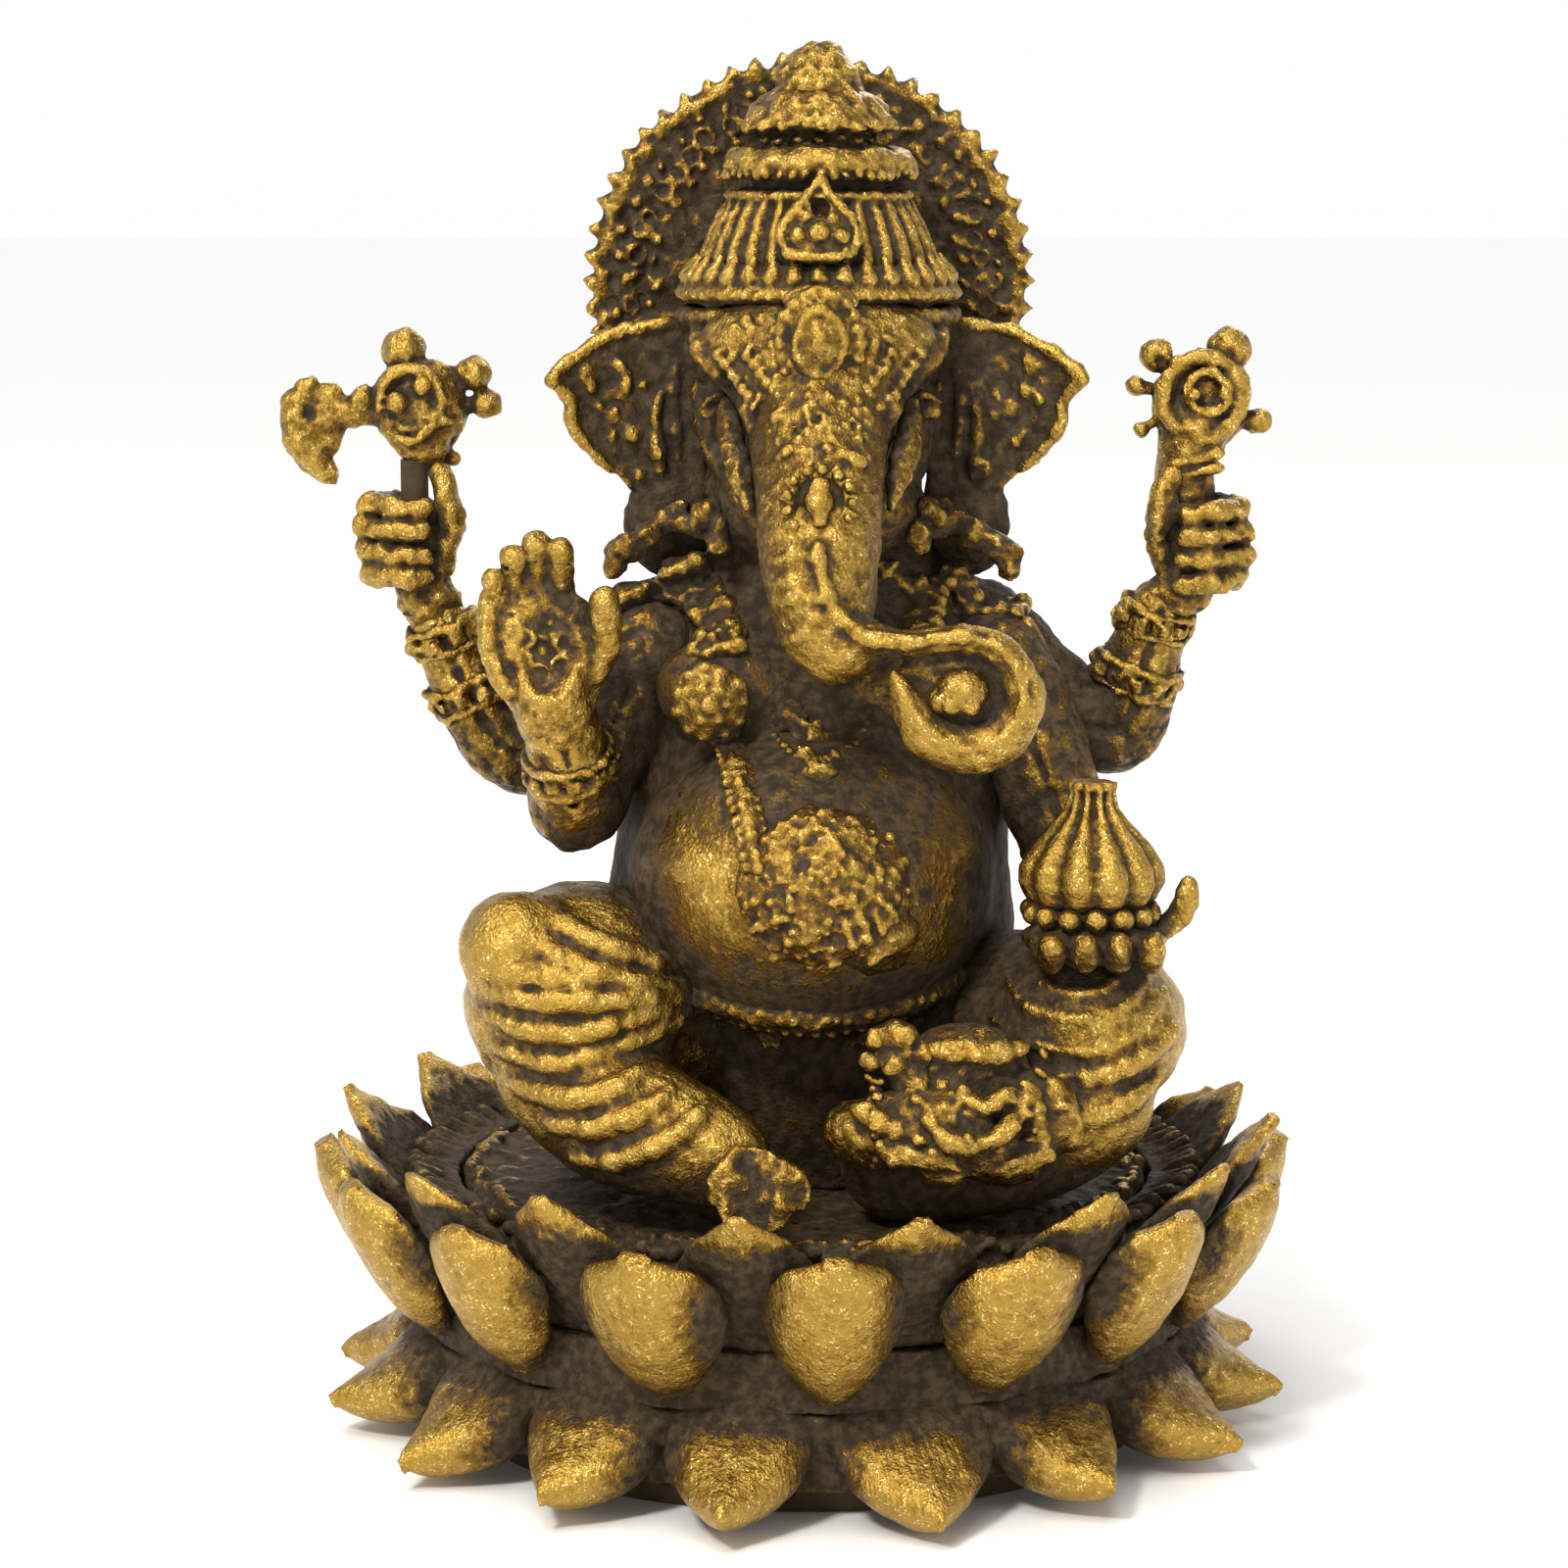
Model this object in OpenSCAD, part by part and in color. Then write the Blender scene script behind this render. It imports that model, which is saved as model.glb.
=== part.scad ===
// Small seated elephant-headed temple figure on a three-row lotus base.
// Millimetres, +Z up, the figure faces -Y. The origin is the centre of the underside.
// "Right" and "left" are the figure's own: its right side is at -X.

/* [Lotus base] */
// Radius out to the tips of the lower petals
lower_tip_r = 17.5; // [17:0.1:18]
// Radius out to the tips of the outer upright petals
outer_tip_r = 17.5; // [17:0.1:18]
// Radius out to the tips of the inner upright petals
inner_tip_r = 17.0; // [16.6:0.1:17.4]
// Number of petals in each row
petal_n = 16; // [14:1:18]
// Outer radius of the hollow drum
drum_r = 12.6; // [12.2:0.1:12.8]
// Wall thickness of the hollow drum
drum_wall = 1.3; // [1:0.1:1.6]
// Height of the deck that the figure sits on
deck_z = 9.2; // [9:0.1:9.6]

/* [Figure] */
// Sideways place of the head and crown over the base
head_x = 0.5; // [0:0.1:0.8]
// Height of the belly's fullest point
belly_z = 20.4; // [20:0.1:21]
// Height where the crown meets the head
brow_z = 40.9; // [40.6:0.1:41.2]

/* [Crown and halo] */
// Radius of the crown's bead band
band_r = 5.0; // [4.8:0.1:5.2]
// Overall height of the statue
top_z = 50; // [49.8:0.1:50.4]
// Radius of the halo out to its teeth
halo_r = 8.4; // [8:0.1:8.6]
// Number of teeth in the halo's full circle
halo_teeth = 42; // [36:1:48]

/* [Fits] */
// Gap between fitted pieces
gap = 0.05; // [0.03:0.01:0.08]

/* [Hidden] */
$fn = 48;

gold = "goldenrod";
dark = "darkgoldenrod";
limb_sides = 12;
big = 60;
axis_xy = [head_x, -0.4, 0];

// Half a petal pitch keeps each row in the gaps of the next one.
petal_step = 360 / petal_n;
lower_turn = -8.5;
outer_turn = 2.75;
inner_turn = -8.5;

// Each limb is a list of [x, y, z, radius] stations along its middle line.
torso_line = [
    [0.2, 1.4, 10.5, 6.4], [0.2, 0.8, 14, 7.4], [0.2, -0.2, 18, 7.3], [0.3, -0.4, 22, 6.9],
    [0.5, 0.2, 26, 6.4], [0.7, 0.6, 29, 5.0], [head_x, 0.2, 31.5, 3.4]
];
right_thigh_line = [[-3.6, 0.4, 13.4, 4.0], [-6.2, -2.6, 15.4, 4.3], [-8.0, -5.4, 16.6, 3.9]];
right_shin_line = [[-8.6, -7.4, 13.4, 3.0], [-5.8, -10.0, 12.4, 2.6], [-2.6, -11.2, 11.8, 1.9]];
left_thigh_line = [[4.0, 0.4, 12.8, 3.5], [7.2, -2.8, 14.4, 3.8], [10.0, -6.2, 15.6, 3.3]];
left_shin_line = [[9.8, -8.2, 13.6, 2.5], [7.0, -8.8, 11.9, 2.3], [3.0, -8.8, 11.3, 2.0]];
right_foot_line = [[1.8, -10.8, 12.9, 1.2], [4.6, -11.9, 13.4, 1.6], [6.9, -11.2, 12.3, 1.3]];
upper_right_line = [
    [-5.2, 0.8, 28.6, 2.3], [-8.0, 1.2, 26.0, 2.0], [-10.4, 0.8, 24.6, 1.6],
    [-12.0, 0.2, 26.6, 1.35], [-13.1, -0.2, 29.2, 1.05]
];
upper_left_line = [
    [6.2, 0.8, 28.6, 2.3], [8.8, 1.2, 26.2, 2.0], [11.4, 0.8, 25.4, 1.6],
    [12.1, 0.2, 27.4, 1.35], [12.8, -0.2, 29.8, 1.05]
];
lower_right_line = [
    [-5.6, -1.2, 28.2, 2.1], [-7.4, -2.6, 25.0, 1.8], [-8.1, -3.9, 23.2, 1.55],
    [-8.2, -5.2, 24.6, 1.4], [-8.6, -6.0, 26.8, 1.15]
];
lower_left_line = [
    [6.8, -1.2, 28.0, 2.0], [8.4, -2.0, 24.6, 1.8], [9.3, -2.8, 21.8, 1.6],
    [9.6, -5.0, 20.4, 1.35], [9.8, -7.0, 19.7, 1.2]
];
trunk_line = [
    [head_x, -5.2, 37.6, 2.5], [head_x, -7.4, 35.0, 2.3], [head_x, -8.6, 32.6, 2.15],
    [head_x - 0.1, -9.4, 30.4, 1.75], [1.3, -9.9, 28.9, 1.35], [2.9, -10.4, 29.0, 1.0]
];
curl_at = [5.1, -10.9, 27.9];
curl_r = 2.0;
palm_at = [-9.0, -6.3, 27.9];
axe_at = [-13.9, -0.2, 36.9];
noose_at = [13.9, -0.2, 36.6];
sweet_at = [9.9, -7.9, 20.4];
halo_at = [0.2, 5.6, 41.4];
screw_r = 1.2;
ring_r = 0.28;

// A point on the smooth curve through the stations, with t running from 0 to 1.
function on_curve(line, t) =
    let (n = len(line) - 1, s = min(t * n, n - 0.0001), i = floor(s), f = s - i)
    let (a = line[max(i - 1, 0)], b = line[i], c = line[i + 1], d = line[min(i + 2, n)])
    0.5 * (2 * b + (c - a) * f + (2 * a - 5 * b + 4 * c - d) * f * f
        + (3 * b - a - 3 * c + d) * f * f * f);

function place(station) = [station[0], station[1], station[2]];

module limb(line, links = 8, sides = limb_sides) {
    for (i = [0 : links - 1])
        hull() {
            a = on_curve(line, i / links);
            b = on_curve(line, (i + 1) / links);
            translate(place(a)) sphere(r = a[3], $fn = sides);
            translate(place(b)) sphere(r = b[3], $fn = sides);
        }
}

module ellipsoid(at, radii, sides = 20) {
    translate(at) scale(radii) sphere(r = 1, $fn = sides);
}

// Everything that lies under a height, to give a piece a flat seat there.
module below(z) {
    translate([-big / 2, -big / 2, z - big]) cube(big);
}

// A petal from its root up to its rounded tip, bulging outwards at its widest place.
module petal(root_r, root_z, tip_r, tip_z, width, thick) {
    mid = [root_r + (tip_r - root_r) * 0.6, 0, root_z + (tip_z - root_z) * 0.55];
    lean = atan2(tip_r - root_r, tip_z - root_z);
    hull() {
        translate([root_r, 0, root_z]) rotate([0, lean, 0]) scale([thick / 2, width * 0.2, 0.8])
            sphere(r = 1, $fn = 6);
        translate(mid) rotate([0, lean, 0]) scale([thick / 2, width / 2, thick * 0.8])
            sphere(r = 1, $fn = 8);
        translate([tip_r - 0.35, 0, tip_z - 0.35]) sphere(r = 0.35, $fn = 6);
    }
}

module petal_row(turn, root_r, root_z, tip_r, tip_z, width, thick) {
    for (i = [0 : petal_n - 1])
        rotate(turn - 90 + i * petal_step)
            petal(root_r, root_z, tip_r, tip_z, width, thick);
}

module band(inner, outer, low, high) {
    translate([0, 0, low]) difference() {
        cylinder(r = outer, h = high - low);
        translate([0, 0, -1]) cylinder(r = inner, h = high - low + 2);
    }
}

module lower_row() {
    petal_row(lower_turn, 14.2, 3.3, lower_tip_r, 1.5, 4.9, 2.3);
}

module outer_row() {
    petal_row(outer_turn, 14.3, 5.0, outer_tip_r, 9.9, 5.0, 1.9);
}

module inner_row() {
    petal_row(inner_turn, 13.8, 7.4, inner_tip_r, 11.7, 4.6, 1.2);
}

// ---- Lotus base ----

module base_cover() {
    color(dark) difference() {
        cylinder(r = drum_r - drum_wall - gap, h = 1.2);
        cover_holes(0.55, 1.05);
    }
}

module cover_holes(shank, head) {
    for (side = [-1, 1])
        translate([side * 9.2, 0, 0]) {
            translate([0, 0, -1]) cylinder(r = shank + gap, h = 3);
            translate([0, 0, -0.01]) cylinder(r1 = head + gap, r2 = shank + gap, h = 0.5);
        }
}

module cover_screws() {
    color("silver") for (side = [-1, 1])
        translate([side * 9.2, 0, 0]) {
            cylinder(r1 = 1.0, r2 = 0.55, h = 0.45);
            translate([0, 0, 0.3]) cylinder(r = 0.55, h = 3.2);
        }
}

module lotus_core() {
    color(dark) difference() {
        union() {
            band(drum_r - drum_wall, drum_r, 0, deck_z - 1.4);
            for (side = [-1, 1])
                translate([side * 9.9, 0, 1.25]) lug();
        }
        for (side = [-1, 1])
            translate([side * 9.2, 0, 1]) cylinder(r = 0.55 + gap, h = 5);
    }
}

// Solid lug inside the drum that takes a cover screw.
module lug() {
    translate([-1.5, -1.5, 0]) cube([3, 3, 3]);
}

module lower_petals() {
    color(gold) difference() {
        union() {
            lower_row();
            band(drum_r + gap, 14.4, 0.6, 3.8);
        }
        translate([0, 0, -1]) cylinder(r = drum_r + gap, h = 12);
        below(0.25);
    }
}

module outer_petals() {
    color(gold) difference() {
        union() {
            outer_row();
            band(drum_r + gap, 14.2, 3.85, 6.0);
        }
        translate([0, 0, -1]) cylinder(r = drum_r + gap, h = 14);
        lower_row();
        translate([0, 0, 0.6]) cylinder(r = 14.45, h = 3.25);
    }
}

module inner_petals() {
    color(gold) difference() {
        union() {
            inner_row();
            band(drum_r + gap, 13.6, 6.05, 8.4);
        }
        translate([0, 0, -1]) cylinder(r = drum_r + gap, h = 14);
        outer_row();
        translate([0, 0, 3.8]) cylinder(r = 14.25, h = 2.25);
    }
}

module seat_deck() {
    color(dark) difference() {
        union() {
            translate([0, 0, deck_z - 1.35]) cylinder(r = drum_r - gap, h = 1.35);
            translate([0, 0, deck_z - 2.4]) cylinder(r = drum_r - drum_wall - gap, h = 1.1);
        }
        translate([0, 0, deck_z - 3]) cylinder(r = screw_r + gap, h = 4);
        translate([0, 0, deck_z - 6]) cylinder(r = 10, h = 4.6);
    }
}

module figure_screw() {
    color("silver") {
        translate([0, 0, deck_z - 1.4 - 1.6]) cylinder(r = 2.2, h = 1.6);
        translate([0, 0, deck_z - 1.5]) cylinder(r = screw_r, h = 6.5);
    }
}

// ---- Body ----

module torso_body() {
    scale([1, 0.82, 1]) limb(torso_line, 8, 14);
    ellipsoid([0.2, -3.9, belly_z], [6.6, 6.5, 5.7], 20);
}

module torso() {
    color(dark) difference() {
        torso_body();
        below(deck_z);
        translate([0, 0, deck_z - 1]) cylinder(r = screw_r + gap, h = 6.2, $fn = 24);
        plate_solid();
    }
}

// Round brocade plate that lies on the front of the belly.
module plate_solid() {
    translate([0.8, -9.4, belly_z + 0.1]) rotate([86, 0, 0]) cylinder(r = 2.9, h = 1.3);
}

module belly_plate() {
    color(gold) plate_solid();
}

module belt_ring() {
    translate([0.2, -3.2, 15.6]) scale([1, 0.9, 1]) rotate([8, 0, 0]) rotate_extrude($fn = 32)
        translate([7.3, 0]) circle(r = 0.55, $fn = 8);
}

module waist_belt() {
    color(gold) difference() {
        belt_ring();
        torso_body();
        legs_body();
    }
}

module right_leg_body() {
    limb(right_thigh_line, 4, 14);
    limb(right_shin_line, 4, 12);
}

module left_leg_body() {
    limb(left_thigh_line, 4, 14);
    limb(left_shin_line, 4, 12);
}

module legs_body() {
    right_leg_body();
    left_leg_body();
}

module right_leg() {
    color(gold) difference() {
        right_leg_body();
        torso_body();
        below(deck_z);
    }
}

module left_leg() {
    color(gold) difference() {
        left_leg_body();
        torso_body();
        right_leg_body();
        below(deck_z);
    }
}

module right_foot() {
    color(gold) difference() {
        limb(right_foot_line, 6);
        legs_body();
        fan_solid();
    }
}

module anklet() {
    color(gold) difference() {
        translate([2.4, -11.2, 13.2]) rotate([0, 80, 12]) rotate_extrude($fn = 20)
            translate([1.5, 0]) circle(r = 0.32, $fn = 8);
        limb(right_foot_line, 6);
        legs_body();
        fan_solid();
    }
}

// Spread end of the waist cloth that falls over the front of the seat.
module fan_solid() {
    translate([-1.6, -12.6, deck_z + 0.02]) rotate([90, 0, 0]) linear_extrude(0.8)
        polygon([[-0.6, 3.6], [-2.3, 1.9], [-1.6, 0], [1.4, 0], [2.0, 1.5], [0.7, 3.6]]);
}

module cloth_fan() {
    color(gold) fan_solid();
}

// ---- Arms ----

module arm(line, links = 9) {
    color(dark) difference() {
        limb(line, links);
        torso_body();
        children();
    }
}

module upper_right_arm() {
    arm(upper_right_line) lower_right_body();
}

module upper_left_arm() {
    arm(upper_left_line) lower_left_body();
}

module lower_right_body() {
    limb(lower_right_line, 9);
}

module lower_left_body() {
    limb(lower_left_line, 9);
}

module lower_right_arm() {
    arm(lower_right_line);
}

module lower_left_arm() {
    arm(lower_left_line) {
        sweet_solid();
        legs_body();
    }
}

// A closed fist: the back of the hand and four fingers wrapped round a grip.
module fist(at, side) {
    translate(at) {
        hull() {
            translate([-side * 0.4, 0.3, -1.3]) sphere(r = 0.9, $fn = limb_sides);
            translate([-side * 0.5, 0.3, 0.9]) sphere(r = 1.0, $fn = limb_sides);
            translate([side * 0.6, 0.2, 0]) sphere(r = 1.0, $fn = limb_sides);
        }
        for (i = [0 : 3])
            hull() {
                translate([-side * 0.8, -0.7, -0.9 + i * 0.7]) sphere(r = 0.42, $fn = 8);
                translate([side * 1.1, -0.5, -1.0 + i * 0.7]) sphere(r = 0.4, $fn = 8);
            }
        for (lift = [0, 1.1])
            hull() {
                translate([-side * 1.1, 0, lift]) sphere(r = 0.5, $fn = 8);
                translate([-side * 1.2, -0.1, lift + 1.2]) sphere(r = 0.4, $fn = 8);
            }
        hull() {
            translate([-side * 0.4, 0.3, -1.6]) sphere(r = 0.85, $fn = limb_sides);
            translate([-side * 0.7, 0.1, -2.2]) sphere(r = 0.85, $fn = limb_sides);
        }
    }
}

module upper_right_hand() {
    color(gold) difference() {
        fist([-14.0, -0.3, 32.1], -1);
        axe_grip(gap);
        limb(upper_right_line, 9);
    }
}

module upper_left_hand() {
    color(gold) difference() {
        fist([14.0, -0.3, 32.1], 1);
        noose_grip(gap);
        limb(upper_left_line, 9);
    }
}

module blessing_hand() {
    color(gold) difference() {
        union() {
            hull() {
                translate(palm_at + [0.3, 0.3, -0.9]) scale([1.5, 0.9, 1]) sphere(r = 1, $fn = 14);
                translate(palm_at + [-0.9, 0.2, 2.2]) sphere(r = 1.1, $fn = 14);
                translate(palm_at + [1.2, 0.2, 2.0]) sphere(r = 1.1, $fn = 14);
            }
            for (i = [0 : 3])
                finger(palm_at + [-1.55 + i * 0.78, 0, 2.4], 2.6 - abs(i - 1.4) * 0.35);
            hull() {
                translate(palm_at + [1.6, 0.1, 0.6]) sphere(r = 0.7, $fn = 12);
                translate(palm_at + [2.0, -0.3, 3.1]) sphere(r = 0.45, $fn = 12);
            }
            finger(palm_at + [-1.7, 0.1, 0.2], 1.6);
            finger(palm_at + [-0.6, 0.4, 0.2], 1.6);
        }
        translate(palm_at + [0, -1.9, 1.6]) scale([1.5, 1.2, 1.7]) sphere(r = 1, $fn = 16);
        lower_right_body();
    }
}

module finger(from, length) {
    hull() {
        translate(from) sphere(r = 0.48, $fn = 8);
        translate(from + [0, -0.15, length]) sphere(r = 0.4, $fn = 8);
    }
}

module offering_hand() {
    color(dark) difference() {
        union() {
            hull() {
                translate(sweet_at + [-1.2, 0.5, -1.5]) sphere(r = 1.0, $fn = 14);
                translate(sweet_at + [1.3, 0.4, -1.5]) sphere(r = 1.0, $fn = 14);
                translate(sweet_at + [0, -1.6, -1.6]) sphere(r = 0.9, $fn = 14);
            }
            hull() {
                translate(sweet_at + [1.6, 0.4, -1.2]) sphere(r = 0.6, $fn = 12);
                translate(sweet_at + [3.0, 0.2, 0.3]) sphere(r = 0.4, $fn = 12);
            }
            for (i = [0 : 3])
                hull() {
                    translate(sweet_at + [-1.5 + i, -1.4, -1.7]) sphere(r = 0.48, $fn = 8);
                    translate(sweet_at + [-1.4 + i * 0.9, -2.6, -1.9]) sphere(r = 0.42, $fn = 8);
                }
        }
        translate(sweet_at + [0, 0, -1]) cylinder(r = 2.3, h = 3, $fn = 24);
        lower_left_body();
        legs_body();
    }
}

// ---- What the hands hold ----

module axe_grip(extra = 0) {
    translate([-14.0, -0.5, 29.6]) cylinder(r = 0.5 + extra, h = 5.6);
}

module axe_handle() {
    color(dark) axe_grip();
}

module axe_head() {
    color(gold) difference() {
        union() {
            hull() {
                translate(axe_at + [0.9, 0, 0.5]) sphere(r = 1.5, $fn = 14);
                translate(axe_at + [-0.8, 0, 0.2]) sphere(r = 1.5, $fn = 14);
                translate(axe_at + [0.2, 0, -1.1]) sphere(r = 1.0, $fn = 14);
            }
            for (knob = [[-0.8, 0, 2.1], [1.9, 0, 1.6], [2.4, 0, 0.3], [1.7, 0, -0.9]])
                hull() {
                    translate(axe_at + knob * 0.6) sphere(r = 0.6, $fn = 8);
                    translate(axe_at + knob) sphere(r = 0.55, $fn = 8);
                }
            axe_blade();
            for (z = [-1.6, -1.0, -0.4])
                hull() {
                    translate(axe_at + [-0.1, 0, z]) cylinder(r = 0.95, h = 0.2, $fn = 12);
                    translate(axe_at + [-0.1, 0, z + 0.3]) cylinder(r = 0.8, h = 0.1, $fn = 12);
                }
        }
        axe_grip(gap);
    }
}

// Crescent cutting blade on the outer side.
module axe_blade() {
    translate(axe_at + [-2.7, 0.35, -1.0]) rotate([90, 0, 0]) linear_extrude(0.7) difference() {
        circle(r = 1.75, $fn = 24);
        translate([2.2, 0.2]) circle(r = 1.3, $fn = 24);
    }
    translate(axe_at + [-3.4, -0.35, -0.9]) rotate([0, 62, 0]) translate([0, 0.35, 0])
        cylinder(r = 0.45, h = 2.4);
}

module noose_grip(extra = 0) {
    translate([14.0, -0.5, 29.8]) cylinder(r = 0.45 + extra, h = 5.2);
}

module noose_stem() {
    color(dark) noose_grip();
}

module noose_head() {
    color(gold) difference() {
        union() {
            hull() {
                translate(noose_at + [0, 0, 0.7]) sphere(r = 1.9, $fn = 16);
                translate(noose_at + [-0.3, 0, -2.2]) sphere(r = 0.7, $fn = 14);
            }
            for (knob = [[-1.5, 0, 1.9], [1.2, 0, 2.3], [2.2, 0, 0.1], [-2.0, 0, 0.9]])
                hull() {
                    translate(noose_at + knob * 0.6) sphere(r = 0.6, $fn = 8);
                    translate(noose_at + knob) sphere(r = 0.5, $fn = 8);
                }
            for (z = [-2.3, -1.7, -1.1])
                hull() {
                    translate(noose_at + [-0.1, 0, z]) cylinder(r = 1.0, h = 0.2, $fn = 12);
                    translate(noose_at + [-0.1, 0, z + 0.3]) cylinder(r = 0.9, h = 0.1, $fn = 12);
                }
        }
        noose_grip(gap);
    }
}

// Garlic-shaped steamed sweet.
module sweet_solid() {
    translate(sweet_at) rotate_extrude() polygon([
        [0, 0], [1.3, 0], [2.1, 0.5], [2.5, 1.3], [2.2, 2.1], [1.4, 2.8],
        [0.85, 3.3], [0.7, 3.9], [0.75, 4.3], [0, 4.3]
    ]);
}

module sweet() {
    color(gold) sweet_solid();
}

module sweet_bead_ring(r, sides) {
    for (i = [0 : 9])
        translate(sweet_at + [0, 0, -0.45]) rotate(18 + i * 36) translate([1.75, 0, 0])
            sphere(r = r, $fn = sides);
}

module sweet_beads() {
    color(gold) sweet_bead_ring(0.42, 24);
}

// ---- Jewellery ----

// A ring square to the limb, just clear of its surface.
module arm_ring(line, t) {
    here = on_curve(line, t);
    ahead = place(on_curve(line, t + 0.02)) - place(here);
    translate(place(here)) rotate([0, acos(ahead.z / norm(ahead)), atan2(ahead.y, ahead.x)])
        rotate_extrude() translate([here[3] + ring_r + gap, 0]) circle(r = ring_r, $fn = 16);
}

module right_arm_rings() {
    color(gold) {
        for (t = [0.76, 0.84, 0.92])
            arm_ring(upper_right_line, t);
        for (t = [0.76, 0.86, 0.96])
            arm_ring(lower_right_line, t);
    }
}

module left_arm_rings() {
    color(gold) for (t = [0.68, 0.76, 0.84, 0.92])
        arm_ring(upper_left_line, t);
}

module necklace() {
    color(gold) difference() {
        translate([head_x, -2.9, 27.8]) scale([1, 0.62, 1]) rotate([28, 0, 0])
            rotate_extrude($fn = 28) translate([4.6, 0]) circle(r = 0.55, $fn = 8);
        torso_body();
        lower_right_body();
        lower_left_body();
        trunk_body();
    }
}

module sash_tassel() {
    color(gold) difference() {
        union() {
            translate([-3.0, -6.9, 27.3]) sphere(r = 1.3, $fn = 14);
            limb([[-2.9, -7.6, 26.2, 0.45], [-2.2, -9.0, 24.4, 0.5], [-1.4, -10.6, 22.2, 0.5]], 5, 8);
        }
        torso_body();
        plate_solid();
    }
}

module shoulder_garlands() {
    color(gold) difference() {
        for (side = [-1, 1])
            translate([head_x + side * 5.2, -2.6, 29.6]) rotate([0, side * 42, 0])
                scale([1.9, 1.3, 1.5]) sphere(r = 1, $fn = 14);
        torso_body();
        lower_right_body();
        lower_left_body();
        limb(upper_right_line, 9);
        limb(upper_left_line, 9);
        head_body();
    }
}

// ---- Head ----

module head_body() {
    translate([head_x, -1.0, 0]) for (i = [0 : 7])
        hull() {
            skull_slice(i);
            skull_slice(i + 1);
        }
}

// The head narrows from the brow down to the jaw behind the trunk.
module skull_slice(i) {
    widths = [3.3, 3.9, 4.3, 4.4, 4.5, 4.6, 4.7, 4.75, 4.7];
    depths = [2.6, 3.0, 3.5, 4.0, 4.4, 4.7, 4.8, 4.75, 4.6];
    height = 31.9 + i * (brow_z - 0.25 - 31.9) / 8;
    translate([0, 0, height]) scale([widths[i], depths[i], 1]) cylinder(r = 1, h = 0.2, $fn = 16);
}

module trunk_body() {
    limb(trunk_line, 9, 12);
    curl_body();
}

// The tip of the trunk winds once round the small sweet.
module curl_body() {
    steps = 9;
    for (i = [0 : steps - 1])
        hull() {
            curl_bead(i / steps);
            curl_bead((i + 1) / steps);
        }
}

module curl_bead(t) {
    turn = 145 - t * 335;
    translate(curl_at + curl_r * [cos(turn), 0, sin(turn)]) sphere(r = 0.85 - 0.35 * t, $fn = 8);
}

module head() {
    color(dark) difference() {
        head_body();
        torso_body();
        trunk_body();
    }
}

module trunk() {
    color(gold) difference() {
        trunk_body();
        torso_body();
    }
}

module trunk_sweet() {
    color(gold) translate(curl_at) sphere(r = 0.95);
}

module tusk(side) {
    color(gold) difference() {
        hull() {
            translate([head_x + side * 2.9, -4.6, 37.0]) sphere(r = 0.75, $fn = 8);
            translate([head_x + side * 3.2, -7.0, 34.6]) sphere(r = 0.3, $fn = 8);
        }
        head_body();
        trunk_body();
    }
}

module right_tusk() {
    tusk(-1);
}

module left_tusk() {
    tusk(1);
}

// Fan-shaped ear, seen from the front as drawn for the left side.
module ear(side) {
    color(dark) difference() {
        translate([head_x, 0.2, 0]) mirror([side < 0 ? 1 : 0, 0, 0]) rotate([90, 0, 0])
            linear_extrude(1.4) polygon([
                [3.9, 40.2], [6.8, 39.7], [8.9, 38.3], [8.7, 36.9], [8.0, 35.4],
                [6.6, 33.6], [6.1, 32.4], [4.2, 31.2], [3.2, 33.0]
            ]);
        head_body();
        torso_body();
    }
}

module right_ear() {
    ear(-1);
}

module left_ear() {
    ear(1);
}

module ear_drops() {
    color(gold) difference() {
        for (side = [-1, 1])
            translate([head_x + side * 6.5, -1.9, 32.0]) scale([1.1, 0.7, 1.1]) sphere(r = 1, $fn = 12);
        head_body();
        torso_body();
        limb(upper_right_line, 9);
        limb(upper_left_line, 9);
    }
}

module forehead_jewel() {
    color(gold) difference() {
        translate([head_x, -4.0, 39.2]) rotate([84, 0, 0]) linear_extrude(3.4) hull() {
            translate([0, 1.2]) square([2.6, 0.6], center = true);
            translate([0, -0.3]) circle(r = 1.35);
        }
        head_body();
        trunk_body();
    }
}

module trunk_rosette() {
    color(gold) difference() {
        translate([head_x, -9.5, 34.2]) rotate([72, 0, 0]) linear_extrude(1.5) polygon([
            for (i = [0 : 27]) (i % 2 == 0 ? 1.55 : 1.3) * [cos(i * 360 / 28), sin(i * 360 / 28)]
        ]);
        trunk_body();
    }
}

// ---- Crown: turned tiers, each with a spigot in the tier below ----

module tier(profile, spigot, socket, low) {
    color(gold) translate(axis_xy) difference() {
        union() {
            rotate_extrude() polygon(profile);
            if (spigot)
                translate([0, 0, low - 0.5]) cylinder(r = 0.8, h = 0.6);
        }
        if (socket > 0)
            translate([0, 0, socket - 0.6]) cylinder(r = 0.8 + gap, h = 1);
    }
}

band_top = brow_z + 1.35;
dome_top = band_top + 2.6;
ring_top = dome_top + 1.7;
disc_top = ring_top + 1.55;

module crown_band() {
    tier([
        [0, brow_z], [band_r - 0.3, brow_z], [band_r, brow_z + 0.4], [band_r, brow_z + 0.95],
        [band_r - 0.3, band_top], [0, band_top]
    ], false, band_top, 0);
}

module crown_dome() {
    tier([
        [0, band_top], [4.3, band_top], [4.2, band_top + 1], [3.8, dome_top - 0.5],
        [3.3, dome_top], [0, dome_top]
    ], true, dome_top, band_top);
}

module crown_ring() {
    tier([
        [0, dome_top], [2.9, dome_top], [3.4, dome_top + 0.4], [3.4, dome_top + 0.9],
        [2.8, dome_top + 1.3], [1.8, dome_top + 1.4], [1.6, ring_top], [0, ring_top]
    ], true, ring_top, dome_top);
}

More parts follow.
